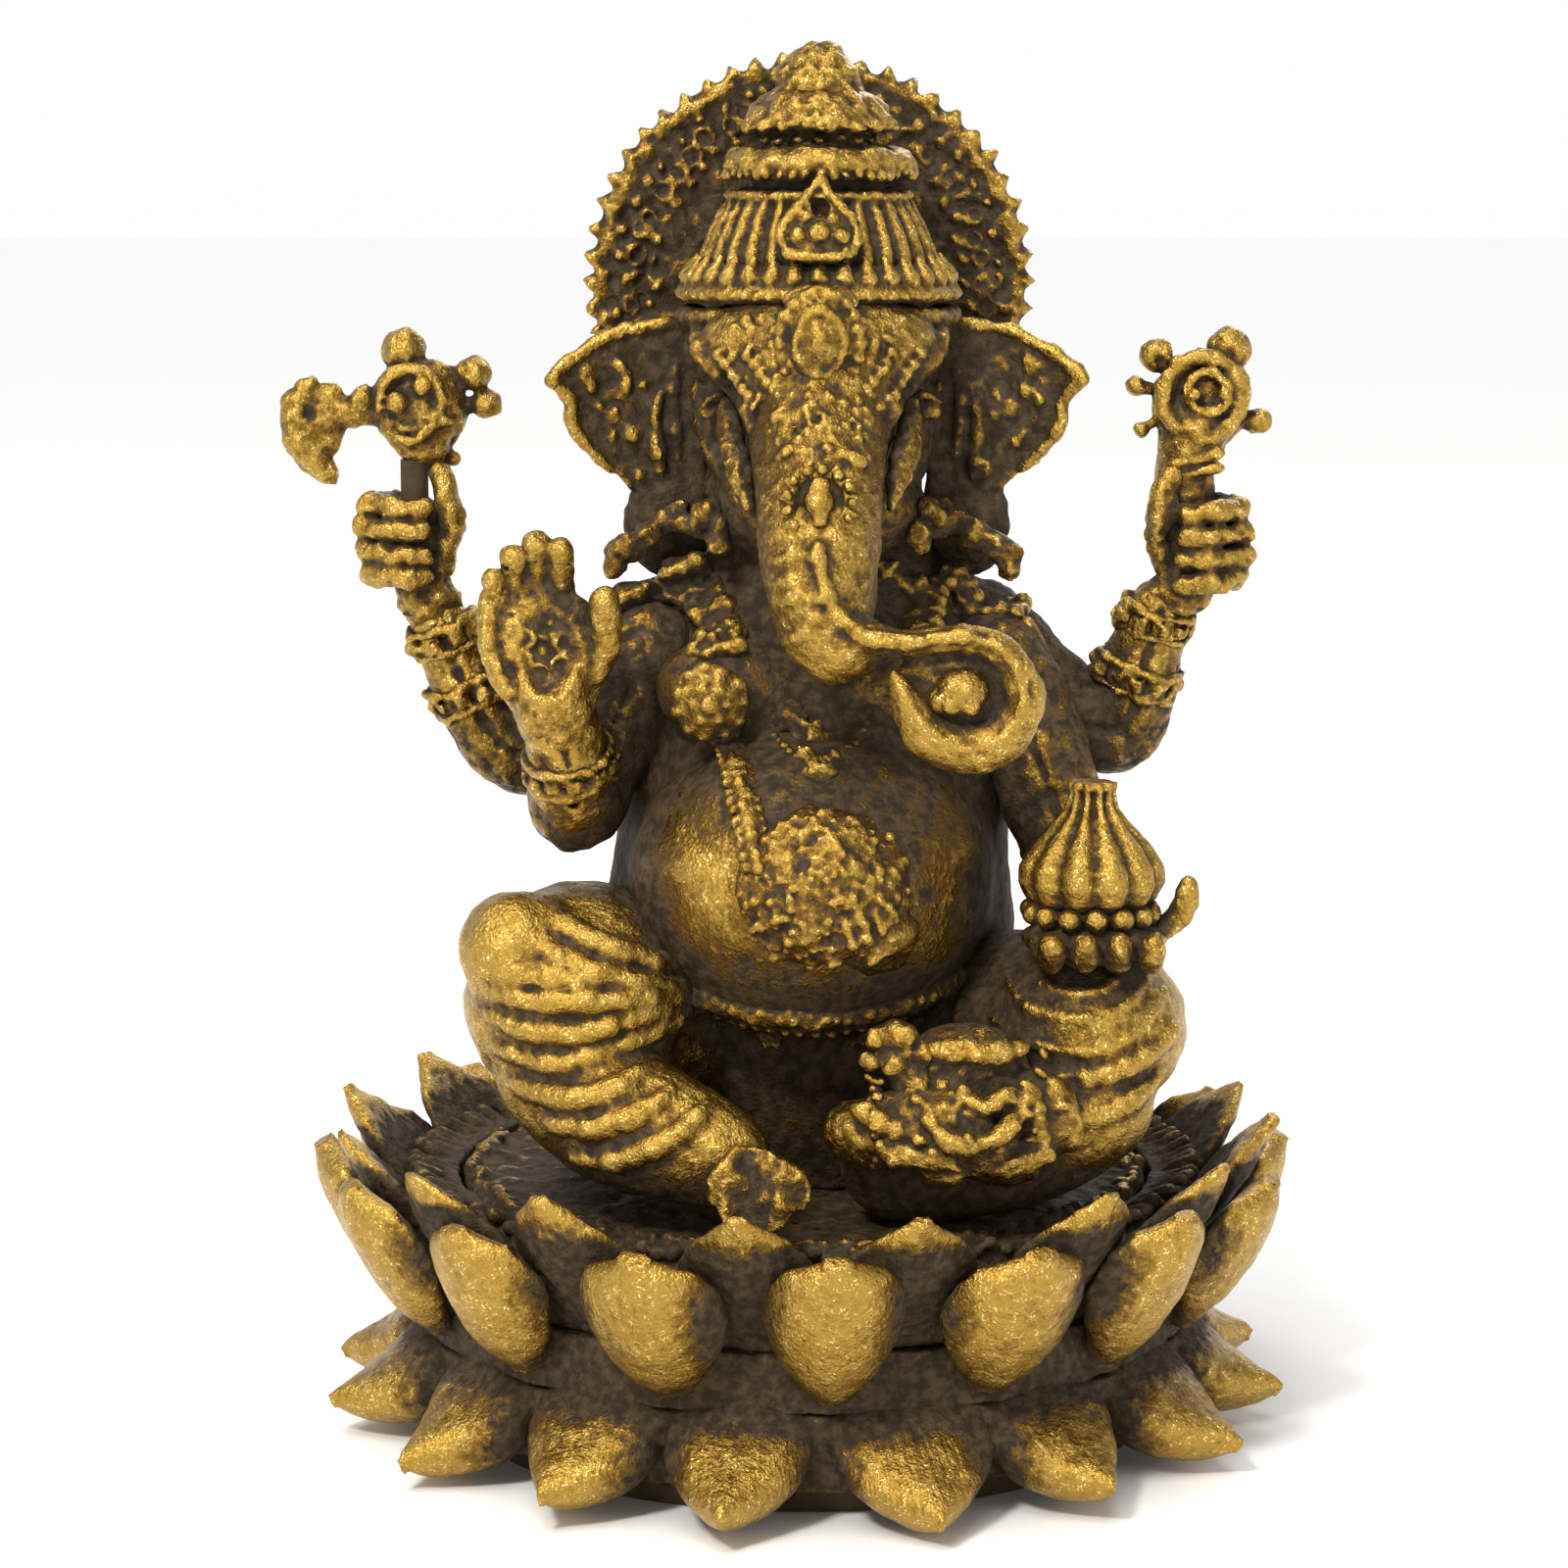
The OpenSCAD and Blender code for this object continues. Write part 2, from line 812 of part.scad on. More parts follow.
module crown_disc() {
    tier([
        [0, ring_top], [2.1, ring_top], [2.75, ring_top + 0.35], [2.5, ring_top + 0.7],
        [1.7, ring_top + 1.2], [1.4, disc_top], [0, disc_top]
    ], true, disc_top, ring_top);
}

module crown_finial() {
    tier([
        [0, disc_top], [1.4, disc_top], [1.7, disc_top + 0.35], [1.3, disc_top + 0.9],
        [1.1, top_z - 0.8], [0.6, top_z - 0.15], [0, top_z]
    ], true, 0, disc_top);
}

module crown_crest() {
    color(gold) difference() {
        translate(axis_xy + [0, -3.0, band_top + 0.02]) rotate([90, 0, 0]) linear_extrude(2.2)
            polygon([[-1.6, 0], [-1.7, 1.2], [-1.1, 2.1], [0, 3.0], [1.1, 2.1], [1.7, 1.2], [1.6, 0]]);
        translate(axis_xy + [0, 0, band_top - 1]) cylinder(r = 4.35, h = 7);
    }
}

// Disc behind the crown with a toothed rim, cut level with the ears, and a lug to the crown.
module halo() {
    color(dark) difference() {
        union() {
            translate(halo_at) rotate([90, 0, 0]) linear_extrude(0.9) polygon([
                for (i = [0 : 2 * halo_teeth - 1])
                    (halo_r - (i % 2) * 0.45)
                        * [sin(i * 180 / halo_teeth), cos(i * 180 / halo_teeth)]
            ]);
            translate([head_x - 1.2, 3.4, 42.6]) cube([2.4, 1.6, 1.4]);
        }
        below(brow_z - 1.6);
        translate(axis_xy + [0, 0, 30]) cylinder(r = 4.9, h = brow_z - 30);
        translate(axis_xy + [0, 0, brow_z - 0.01]) cylinder(r = band_r + 0.02, h = 1.4);
        translate(axis_xy + [0, 0, band_top - 0.02]) cylinder(r = 4.35, h = 2.7);
    }
}

base_cover();
cover_screws();
lotus_core();
lower_petals();
outer_petals();
inner_petals();
seat_deck();
figure_screw();
torso();
belly_plate();
waist_belt();
right_leg();
left_leg();
right_foot();
anklet();
cloth_fan();
upper_right_arm();
upper_left_arm();
lower_right_arm();
lower_left_arm();
upper_right_hand();
upper_left_hand();
blessing_hand();
offering_hand();
axe_handle();
axe_head();
noose_stem();
noose_head();
sweet();
sweet_beads();
right_arm_rings();
left_arm_rings();
necklace();
sash_tassel();
shoulder_garlands();
head();
trunk();
trunk_sweet();
right_tusk();
left_tusk();
right_ear();
left_ear();
ear_drops();
forehead_jewel();
trunk_rosette();
crown_band();
crown_dome();
crown_crest();
crown_ring();
crown_disc();
crown_finial();
halo();
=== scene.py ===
"""Cast brass elephant-headed idol on a lotus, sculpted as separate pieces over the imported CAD."""
import math
from collections import namedtuple

import bpy
import numpy as np
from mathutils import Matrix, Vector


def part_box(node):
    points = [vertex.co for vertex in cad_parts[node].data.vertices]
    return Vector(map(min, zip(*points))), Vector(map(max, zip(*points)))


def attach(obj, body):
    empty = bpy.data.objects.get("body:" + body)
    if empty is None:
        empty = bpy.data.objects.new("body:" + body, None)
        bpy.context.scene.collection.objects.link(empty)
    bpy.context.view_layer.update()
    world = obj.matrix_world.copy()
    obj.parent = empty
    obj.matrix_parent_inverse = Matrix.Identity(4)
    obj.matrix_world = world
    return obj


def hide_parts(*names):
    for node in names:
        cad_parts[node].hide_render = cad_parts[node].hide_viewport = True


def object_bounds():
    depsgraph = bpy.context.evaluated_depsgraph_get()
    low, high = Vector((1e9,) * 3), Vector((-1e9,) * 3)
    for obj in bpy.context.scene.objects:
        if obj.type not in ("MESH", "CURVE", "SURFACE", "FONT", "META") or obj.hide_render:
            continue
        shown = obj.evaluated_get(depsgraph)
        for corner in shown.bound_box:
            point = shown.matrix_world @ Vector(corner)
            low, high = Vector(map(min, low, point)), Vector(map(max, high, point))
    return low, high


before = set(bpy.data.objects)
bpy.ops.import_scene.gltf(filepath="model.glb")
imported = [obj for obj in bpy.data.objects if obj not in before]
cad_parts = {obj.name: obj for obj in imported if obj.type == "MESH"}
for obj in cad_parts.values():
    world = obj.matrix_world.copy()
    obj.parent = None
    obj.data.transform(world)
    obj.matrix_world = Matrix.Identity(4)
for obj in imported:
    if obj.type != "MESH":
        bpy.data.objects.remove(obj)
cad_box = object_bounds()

import openvdb
from mathutils import Euler, Vector

MM = 0.001
FAR = 1.5          # mm, distances beyond this are not kept
STEP = 0.12        # mm, spacing of the sculpting grid
STEEP = 1.8        # mm, a draped path ends where the surface steps by more
BEHIND = 20        # mm, a y that is behind the whole object
HEAD_X = 0.5       # mm, middle plane of the head and crown
FRONT = -math.pi / 2   # the way the figure faces, as an angle about z

Shape = namedtuple("Shape", "low high distance")


# ---- Clay: signed distances on a grid, below zero inside the metal ----

def soft_min(a, b, blend):
    if blend <= 0:
        return np.minimum(a, b)
    share = np.clip(0.5 + 0.5 * (b - a) / blend, 0, 1)
    return b + (a - b) * share - blend * share * (1 - share)


def lattice(counts, cell, seed):
    """Seeded lumps between -1 and 1, smooth over a cell of that many grid steps."""
    draw = np.random.default_rng(seed)
    values = draw.uniform(-1, 1, [int(n / cell) + 3 for n in counts]).astype(np.float32)
    for axis, n in enumerate(counts):
        place = np.arange(n) / cell
        at = place.astype(int)
        part = place - at
        part = part * part * (3 - 2 * part)
        form = [1, 1, 1]
        form[axis] = n
        low = np.take(values, at, axis=axis)
        high = np.take(values, at + 1, axis=axis)
        values = low + (high - low) * part.reshape(form).astype(np.float32)
    return values


class Clay:
    """One piece being sculpted, in the millimetres of part.scad.

    drawn_at is where part.scad puts the middle of the node's box, and the clay moves with that box.
    """

    def __init__(self, node, drawn_at, step=STEP, spare=0.7):
        low, high = (np.array(corner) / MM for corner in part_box(node))
        self.node = node
        self.shift = (low + high) / 2 - np.array(drawn_at)
        self.step = step * 1
        self.low = low - self.shift - spare
        counts = np.ceil((high - low + 2 * spare) / self.step).astype(int) + 1
        self.axes = [self.low[i] + self.step * np.arange(counts[i]) for i in range(3)]
        self.field = np.full(counts, FAR, np.float32)

    def window(self, shape, margin):
        """The slices of the grid that a shape touches, and their x, y and z."""
        where = []
        grid = []
        for i in range(3):
            first = int((shape.low[i] - margin - self.low[i]) / self.step)
            last = int((shape.high[i] + margin - self.low[i]) / self.step) + 2
            part = slice(max(first, 0), max(last, 0))
            form = [1, 1, 1]
            form[i] = -1
            where.append(part)
            grid.append(self.axes[i][part].reshape(form).astype(np.float32))
        return tuple(where), grid

    def add(self, shape, blend=0.15, sign=1):
        """Joins a shape on with a fillet as wide as blend, or takes it away where sign is -1."""
        where, grid = self.window(shape, blend + 0.3)
        if 0 not in self.field[where].shape:
            field = sign * self.field[where]
            self.field[where] = sign * soft_min(field, shape.distance(*grid), blend)

    def carve(self, shape, blend=0.1):
        self.add(shape, blend, sign=-1)

    def roughen(self, *layers, seed=1):
        """Casting grain: each layer is the size of its lumps and their height."""
        for number, (size, height) in enumerate(layers):
            lumps = lattice(self.field.shape, size / self.step, seed * 10 + number)
            self.field += height * lumps

    def hit(self, start, way):
        """The first point of the surface that is met from start along way, or None."""
        travel = np.arange(0, 40, self.step)
        path = np.array(start) + travel[:, None] * np.array(way)
        place = np.rint((path - self.low) / self.step).astype(int)
        inside = np.all((place >= 0) & (place < self.field.shape), axis=1)
        value = np.full(len(travel), FAR)
        value[inside] = self.field[tuple(place[inside].T)]
        found = np.flatnonzero(value < 0)
        if not len(found):
            return None
        return path[found[0]] - value[found[0]] * np.array(way)

    def front(self, x, z):
        """The surface as the viewer meets it at x, z, or a point on the box's middle."""
        met = self.hit((x, self.axes[1][0], z), (0, 1, 0))
        return met if met is not None else np.array((x, self.axes[1].mean(), z))

    def drape(self, points, sink=0.0, way=None):
        """A smooth path through x, z points (or x, y, z with a way) laid on the surface, as far as
        the first step in that surface."""
        path = []
        for point in smooth(points, 0.35):
            if way is None:
                met = self.front(*point)
            else:
                met = self.hit(point, way)
            if met is None:
                continue
            met = met + sink * np.array(way if way is not None else (0, 1, 0))
            if path and np.linalg.norm(met - path[-1]) > STEEP:
                break
            path.append(met)
        return path

    def drape_behind(self, points, sink=0.0):
        """The same through x, z points on the back."""
        return self.drape([(x, BEHIND, z) for x, z in points], sink, way=(0, -1, 0))


# ---- Paths ----

def smooth(stations, spacing=0.4):
    """Points on the smooth curve through the stations, of any number of values each."""
    line = np.array(stations, float)
    if len(line) < 2:
        return [line[0]]
    padded = np.vstack([line[0], line, line[-1]])
    out = []
    for i in range(len(line) - 1):
        a, b, c, d = padded[i:i + 4]
        size = min(3, len(b))
        count = max(1, int(np.linalg.norm((c - b)[:size]) / spacing + 0.5))
        for f in np.arange(count) / count:
            out.append(0.5 * (2 * b + (c - a) * f + (2 * a - 5 * b + 4 * c - d) * f * f
                              + (3 * b - a - 3 * c + d) * f ** 3))
    return out + [line[-1]]


def evenly(points, spacing):
    """The same path with points at an even spacing."""
    line = np.array(points, float)
    run = np.concatenate([[0], np.cumsum(np.linalg.norm(np.diff(line, axis=0), axis=1))])
    count = max(2, int(run[-1] / spacing) + 1)
    at = np.linspace(0, run[-1], count)
    return np.stack([np.interp(at, run, line[:, i]) for i in range(3)], axis=1)


def circle(at, radius, count, axis=1, phase=0.0):
    """Points round a circle whose axis is x, y or z."""
    out = []
    for i in range(count):
        angle = phase + 2 * math.pi * i / count
        flat = [math.cos(angle) * radius, math.sin(angle) * radius]
        flat.insert(axis, 0.0)
        out.append(np.array(at) + flat)
    return out


def spoke(angle):
    """The level direction at that angle about z."""
    return np.array((math.cos(angle), math.sin(angle), 0))


# ---- Shapes ----

def turned_axes(turn):
    """The axes of something turned by angles in degrees about x, y and z."""
    return np.array(Euler([math.radians(a) for a in turn]).to_matrix()).T


def along(axis, at, x, y, z):
    """How far x, y, z lies from at in the direction of that axis."""
    return (x - at[0]) * axis[0] + (y - at[1]) * axis[1] + (z - at[2]) * axis[2]


def ball(at, r):
    at = np.array(at, float)

    def distance(x, y, z):
        return np.sqrt((x - at[0]) ** 2 + (y - at[1]) ** 2 + (z - at[2]) ** 2) - r
    return Shape(at - r, at + r, distance)


def blob(at, radii, turn=(0, 0, 0)):
    """An ellipsoid, turned by angles in degrees about x, y and z."""
    at = np.array(at, float)
    radii = np.array(radii, float)
    axes = turned_axes(turn)
    reach = np.sqrt(((axes * radii[:, None]) ** 2).sum(axis=0))

    def distance(x, y, z):
        near = 0
        steep = 0
        for axis, r in zip(axes, radii):
            share = along(axis, at, x, y, z) / r
            near = near + share ** 2
            steep = steep + (share / r) ** 2
        near = np.sqrt(near)
        return near * (near - 1) / np.maximum(np.sqrt(steep), 1e-3)
    return Shape(at - reach, at + reach, distance)


def rod(a, b, ra, rb=None):
    """A rod with round ends, tapering from ra to rb."""
    a = np.array(a[:3], float)
    b = np.array(b[:3], float)
    rb = ra if rb is None else rb
    span = b - a
    length = max(float(span @ span), 1e-9)

    def distance(x, y, z):
        t = ((x - a[0]) * span[0] + (y - a[1]) * span[1] + (z - a[2]) * span[2]) / length
        t = np.clip(t, 0, 1)
        gap = (x - a[0] - t * span[0]) ** 2
        gap = gap + (y - a[1] - t * span[1]) ** 2 + (z - a[2] - t * span[2]) ** 2
        return np.sqrt(gap) - (ra + (rb - ra) * t)
    reach = max(ra, rb)
    return Shape(np.minimum(a, b) - reach, np.maximum(a, b) + reach, distance)


def scaled(shape, factors):
    """A shape stretched about the origin."""
    fx, fy, fz = factors
    low = np.array(shape.low) * factors
    high = np.array(shape.high) * factors

    def distance(x, y, z):
        return shape.distance(x / fx, y / fy, z / fz) * min(factors)
    return Shape(low, high, distance)


def block(at, half, edge=0.1, turn=(0, 0, 0)):
    """A box with rounded edges."""
    at = np.array(at, float)
    half = np.array(half, float)
    axes = turned_axes(turn)
    reach = np.abs(axes * half[:, None]).sum(axis=0)

    def distance(x, y, z):
        outside = 0
        inside = -FAR
        for axis, h in zip(axes, half):
            over = np.abs(along(axis, at, x, y, z)) - (h - edge)
            outside = outside + np.maximum(over, 0) ** 2
            inside = np.maximum(inside, over)
        return np.sqrt(outside) + np.minimum(inside, 0) - edge
    return Shape(at - reach, at + reach, distance)


def hoop(at, radius, r, axis=2, tilt=(0, 0, 0)):
    """A torus about x, y or z, then tilted in degrees."""
    at = np.array(at, float)
    axes = turned_axes(tilt)

    def distance(x, y, z):
        own = [along(own_axis, at, x, y, z) for own_axis in axes]
        up = own.pop(axis)
        across = np.sqrt(own[0] ** 2 + own[1] ** 2) - radius
        return np.sqrt(across ** 2 + up ** 2) - r
    return Shape(at - radius - r, at + radius + r, distance)


def lathe(at, profile, flutes=0, depth=0.0, sharp=1.0, axis=2):
    """A turned form about z (or y): profile holds height and radius pairs, lowest first."""
    heights = np.array([p[0] for p in profile], float)
    radii = np.array([p[1] for p in profile], float)
    reach = radii.max() + depth
    low = np.array(at, float) - reach
    high = np.array(at, float) + reach
    low[axis] = at[axis] + heights[0]
    high[axis] = at[axis] + heights[-1]

    def distance(x, y, z):
        own = [x - at[0], y - at[1], z - at[2]]
        up = own.pop(axis)
        radius = np.interp(up, heights, radii)
        slope = (np.interp(up + 0.05, heights, radii) - np.interp(up - 0.05, heights, radii)) / 0.1
        if flutes:
            wave = 0.5 + 0.5 * np.cos(flutes * np.arctan2(own[0], own[1]))
            radius = radius + depth * (2 * wave ** sharp - 1)
        side = (np.sqrt(own[0] ** 2 + own[1] ** 2) - radius) / np.sqrt(1 + slope ** 2)
        ends = np.maximum(heights[0] - up, up - heights[-1])
        return np.maximum(side, ends)
    return Shape(low, high, distance)


def plate(outline, middle, half, bow=None):
    """A flat plate with an x, z outline; bow(x, z) moves its middle along y."""
    corners = np.array(outline, float)
    following = np.roll(corners, -1, axis=0)

    def distance(x, y, z):
        gap = np.full(np.broadcast(x, z).shape, 1e6)
        inside = np.zeros(gap.shape, bool)
        for (ax, az), (bx, bz) in zip(corners, following):
            ex, ez = bx - ax, bz - az
            t = np.clip(((x - ax) * ex + (z - az) * ez) / (ex * ex + ez * ez), 0, 1)
            gap = np.minimum(gap, (x - ax - t * ex) ** 2 + (z - az - t * ez) ** 2)
            if abs(ez) > 1e-9:
                inside ^= ((az > z) != (bz > z)) & (x < ex * (z - az) / ez + ax)
        gap = np.sqrt(gap) * np.where(inside, -1, 1)
        offset = bow(x, z) if bow else 0
        return np.maximum(gap, np.abs(y - middle - offset) - half)
    deep = half + (1.5 if bow else 0)
    low = (corners[:, 0].min(), middle - deep, corners[:, 1].min())
    high = (corners[:, 0].max(), middle + deep, corners[:, 1].max())
    return Shape(low, high, distance)


def petal(turn, root, tip, width, thick, sag, cup, curl, profile):
    """A lotus petal that points away from the z axis at that angle.

    root and tip are radius and height. The blade sags outwards in its middle, its sides cup
    inwards and its tip curls outwards. profile is the share of the width along the blade.
    """
    length = math.dist(root, tip)
    dr, dz = (tip[0] - root[0]) / length, (tip[1] - root[1]) / length
    shares = np.linspace(0, 1, len(profile))
    reach = width / 2 + 0.3
    out = np.array((math.cos(turn), math.sin(turn)))
    across = np.array((-out[1], out[0]))
    corners = [out * r + across * s for r in (root[0] - 0.8, tip[0] + 1.6) for s in (-reach, reach)]
    low = (*np.min(corners, axis=0), min(root[1], tip[1]) - thick - sag - 1)
    high = (*np.max(corners, axis=0), max(root[1], tip[1]) + thick + 1)

    def distance(x, y, z):
        r = x * out[0] + y * out[1] - root[0]
        u = x * across[0] + y * across[1]
        up = z - root[1]
        v = (r * dr + up * dz) / length
        n = r * dz - up * dr
        inner = np.clip(v, 0, 1)
        n = n - sag * 4 * inner * (1 - inner) - curl * inner ** 5
        n = n + cup * (u / (width / 2)) ** 2
        half = np.interp(v, shares, profile) * width / 2
        deep = thick * np.sqrt(np.clip(half / (width / 2), 0.02, 1))
        half = np.maximum(half, 0.03)
        near = np.sqrt((u / half) ** 2 + (n / deep) ** 2)
        steep = np.sqrt((u / half ** 2) ** 2 + (n / deep ** 2) ** 2)
        body = near * (near - 1) / np.maximum(steep, 1e-3)
        return np.maximum(body, (np.abs(v - 0.5) - 0.53) * length)
    return Shape(low, high, distance)


# ---- Strokes: several shapes laid along a path ----

def limb(clay, line, blend=0.2, spacing=0.8, factors=None):
    """A limb through x, y, z, radius stations."""
    stations = smooth(line, spacing)
    for a, b in zip(stations, stations[1:]):
        shape = rod(a, b, a[3], b[3])
        clay.add(scaled(shape, factors) if factors else shape, blend)


def cord(clay, path, r, blend=0.12, tip=None):
    """A cord of radius r along a path, thinning to tip at both of its ends."""
    last = len(path) - 1
    for i in range(last):
        ra, rb = r, r
        if tip is not None:
            ra, rb = (tip + (r - tip) * max(math.sin(math.pi * k / last), 0) ** 0.5 for k in (i, i + 1))
        clay.add(rod(path[i], path[i + 1], ra, rb), blend)


def studs(clay, spots, r, blend=0.05):
    """A ball at each spot."""
    for at in spots:
        clay.add(ball(at, r), blend)


def beads(clay, path, r, spacing, blend=0.05):
    """Balls at an even spacing along a path."""
    studs(clay, evenly(path, spacing), r, blend)


def rope(clay, path, r, pitch=0.9, blend=0.08):
    """A two-strand twist along a path, with a full turn every pitch."""
    spacing = 0.2
    points = evenly(path, spacing)
    for phase in (0, math.pi):
        strand = []
        for i, at in enumerate(points):
            ahead = points[min(i + 1, len(points) - 1)] - points[max(i - 1, 0)]
            ahead = ahead / max(np.linalg.norm(ahead), 1e-6)
            side = np.cross(ahead, (0, 1, 0))
            side = side / max(np.linalg.norm(side), 1e-6)
            over = np.cross(side, ahead)
            angle = phase + 2 * math.pi * i * spacing / pitch
            strand.append(at + r * 0.5 * (math.cos(angle) * side + math.sin(angle) * over))
        cord(clay, strand, r * 0.62, blend)


def floret(clay, at, r, count=6, axis=1, blend=0.06):
    """A flower of round petals about a boss."""
    studs(clay, circle(at, r * 0.66, count, axis), r * 0.36, blend)
    clay.add(ball(at, r * 0.42), blend)


def knobs(clay, middle, places, blend):
    """Balls about a body, each on a neck: how far they are along x and z, and their radius."""
    for dx, dz, r in places:
        clay.add(ball(middle + (dx, 0, dz), r), blend)
        clay.add(rod(middle, middle + (dx, 0, dz), r * 0.6), 0.1)


# ---- Keep rules: shares of the rubbing, for the points of a piece ----

def rise(value, start, width):
    """0 up to start, then climbing to 1 over that width."""
    return np.clip((value - start) / width, 0, 1)


def fall(value, end, width):
    """1 up to a width short of end, then dropping to 0 at end."""
    return np.clip((end - value) / width, 0, 1)


def glow(at, size, *values):
    """1 where the values are those of at, fading over about that size."""
    return np.exp(-sum(((v - a) / s) ** 2 for v, a, s in zip(values, at, size)))


# ---- From clay to Blender ----

CASTS = []
CLAYS = {}
CRUMB = 0.45       # square mm, loose bits with less surface are dropped
SOLID_STEP = 0.3   # mm, grid that records where metal is, for the patina


def relaxed(points, quads, rounds):
    """The points after that many rounds of moving each one to the mean of its neighbours."""
    ends = np.concatenate([quads[:, [0, 1]], quads[:, [1, 2]], quads[:, [2, 3]], quads[:, [3, 0]]])
    a = np.concatenate([ends[:, 0], ends[:, 1]])
    b = np.concatenate([ends[:, 1], ends[:, 0]])
    count = len(points)
    share = np.maximum(np.bincount(a, minlength=count), 1)
    moved = points
    for _ in range(rounds):
        moved = np.stack([np.bincount(a, moved[b, i], count) / share for i in range(3)], axis=1)
    return moved


def without_crumbs(points, quads, least):
    """The mesh without loose bits of fewer points than that, which grain leaves where it pinches."""
    order = np.argsort(quads, axis=None, kind="stable")
    corners, first = np.unique(quads.ravel()[order], return_index=True)
    label = np.arange(len(points))
    while True:
        low = np.repeat(label[quads].min(axis=1), 4)[order]
        fresh = label.copy()
        fresh[corners] = np.minimum(label[corners], np.minimum.reduceat(low, first))
        fresh = fresh[fresh]
        if np.array_equal(fresh, label):
            break
        label = fresh
    keep = np.bincount(label, minlength=len(points))[label] >= least
    number = np.cumsum(keep) - 1
    return points[keep], number[quads[keep[quads[:, 0]]]]


def normals_of(points, quads):
    face = np.cross(points[quads[:, 2]] - points[quads[:, 0]], points[quads[:, 3]] - points[quads[:, 1]])
    total = np.zeros_like(points)
    for corner in range(4):
        for i in range(3):
            total[:, i] += np.bincount(quads[:, corner], face[:, i], len(points))
    return total / np.maximum(np.linalg.norm(total, axis=1, keepdims=True), 1e-9)


def cast(clay, material, bias=0.0, keep=None):
    """Turns clay into a mesh piece that stands for its CAD node.

    bias is how much of the surface is rubbed down to bright brass: 0 is half rubbed.
    keep(points) may give a share per point that is added to the bias.
    """
    node = clay.node
    grid = openvdb.FloatGrid(background=FAR)
    grid.copyFromArray(np.clip(clay.field, -FAR, FAR), tolerance=0.0)
    found = grid.convertToPolygons(isovalue=0.0)
    points, quads = without_crumbs(found[0], found[-1], CRUMB / clay.step ** 2)
    points = points.astype(np.float64) * clay.step + clay.low + clay.shift
    normal = normals_of(points, quads)
    nearby = np.rint((points + normal * clay.step - clay.shift - clay.low) / clay.step).astype(int)
    nearby = np.clip(nearby, 0, np.array(clay.field.shape) - 1)
    if np.mean(clay.field[tuple(nearby.T)] < 0) > 0.5:
        quads = quads[:, ::-1]
        normal = -normal

    mesh = bpy.data.meshes.new(node + "_cast")
    mesh.vertices.add(len(points))
    mesh.vertices.foreach_set("co", (points * MM).astype(np.float32).ravel())
    mesh.loops.add(quads.size)
    mesh.loops.foreach_set("vertex_index", quads.astype(np.int32).ravel())
    mesh.polygons.add(len(quads))
    mesh.polygons.foreach_set("loop_start", np.arange(0, quads.size, 4, dtype=np.int32))
    mesh.update(calc_edges=True)
    mesh.validate()
    mesh.polygons.foreach_set("use_smooth", np.ones(len(mesh.polygons), bool))
    mesh.materials.append(material)
    piece = bpy.data.objects.new(node + "_cast", mesh)
    bpy.context.scene.collection.objects.link(piece)
    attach(piece, "root")
    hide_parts(node)
    extra = keep(points) if keep else 0.0
    CASTS.append((piece, points, normal, quads, bias + extra))
    CLAYS[node] = clay


def box_blur(grid, reach):
    """A blur over that many cells each way, along each axis."""
    width = 2 * reach + 1
    for axis in range(3):
        edge = [(0, 0)] * 3
        edge[axis] = (reach + 1, reach)
        total = np.cumsum(np.pad(grid, edge), axis=axis, dtype=np.float64)
        high = np.take(total, np.arange(width, total.shape[axis]), axis=axis)
        low = np.take(total, np.arange(0, total.shape[axis] - width), axis=axis)
        grid = ((high - low) / width).astype(np.float32)
    return grid


def solid_map(low, high):
    """How full of metal each cell of a coarse grid over the object is."""
    counts = np.ceil((high - low) / SOLID_STEP).astype(int) + 1
    full = np.zeros(counts, np.float32)
    for clay in CLAYS.values():
        share = (clay.field < 0).astype(np.float32)
        cells = []
        for axis in range(3):
            place = ((clay.axes[axis] + clay.shift[axis] - low[axis]) / SOLID_STEP).astype(int)
            cell, first = np.unique(place, return_index=True)
            share = np.add.reduceat(share, first, axis=axis)
            cells.append(cell)
        share *= (clay.step / SOLID_STEP) ** 3
        full[np.ix_(*cells)] += share
    return np.minimum(full, 1)


def sample(grid, low, points):
    """The grid's value at points, by straight-line filling between cell centres."""
    place = (points - low) / SOLID_STEP - 0.5
    place = np.clip(place, 0, np.array(grid.shape) - 1.001)
    at = place.astype(int)
    part = place - at
    total = 0
    for dx in (0, 1):
        for dy in (0, 1):
            for dz in (0, 1):
                share = np.abs(1 - dx - part[:, 0]) * np.abs(1 - dy - part[:, 1])
                share = share * np.abs(1 - dz - part[:, 2])
                total = total + share * grid[at[:, 0] + dx, at[:, 1] + dy, at[:, 2] + dz]
    return total


def wear():
    """Works out, point by point, where handling has rubbed the patina off: on ridges and where
    little metal stands in front. Kept as the mesh attribute "rub"."""
    low, high = (np.array(corner) / MM for corner in cad_box)
    low = low - 4
    high = high + 4
    full = solid_map(low, high)
    near = box_blur(box_blur(full, 1), 1)
    far = box_blur(box_blur(full, 4), 3)
    for piece, points, normal, quads, bias in CASTS:
        fine = ((points - relaxed(points, quads, 5)) * normal).sum(axis=1)
        broad = ((points - relaxed(points, quads, 30)) * normal).sum(axis=1)
        tucked = sample(near, low, points + normal * 0.55)
        sunk = sample(far, low, points + normal * 1.6)
        rub = 0.40 + bias
        rub = rub + np.clip(fine / 0.04, -1, 1) * 0.22 + np.clip(broad / 0.16, -1, 1) * 0.3
        rub = rub - np.clip(tucked - 0.12, -0.1, 0.6) * 1.3 - np.clip(sunk - 0.22, -0.2, 0.5) * 1.1
        layer = piece.data.attributes.new("rub", "FLOAT", "POINT")
        layer.data.foreach_set("value", np.clip(rub, 0, 1).astype(np.float32))


# ---- Materials ----

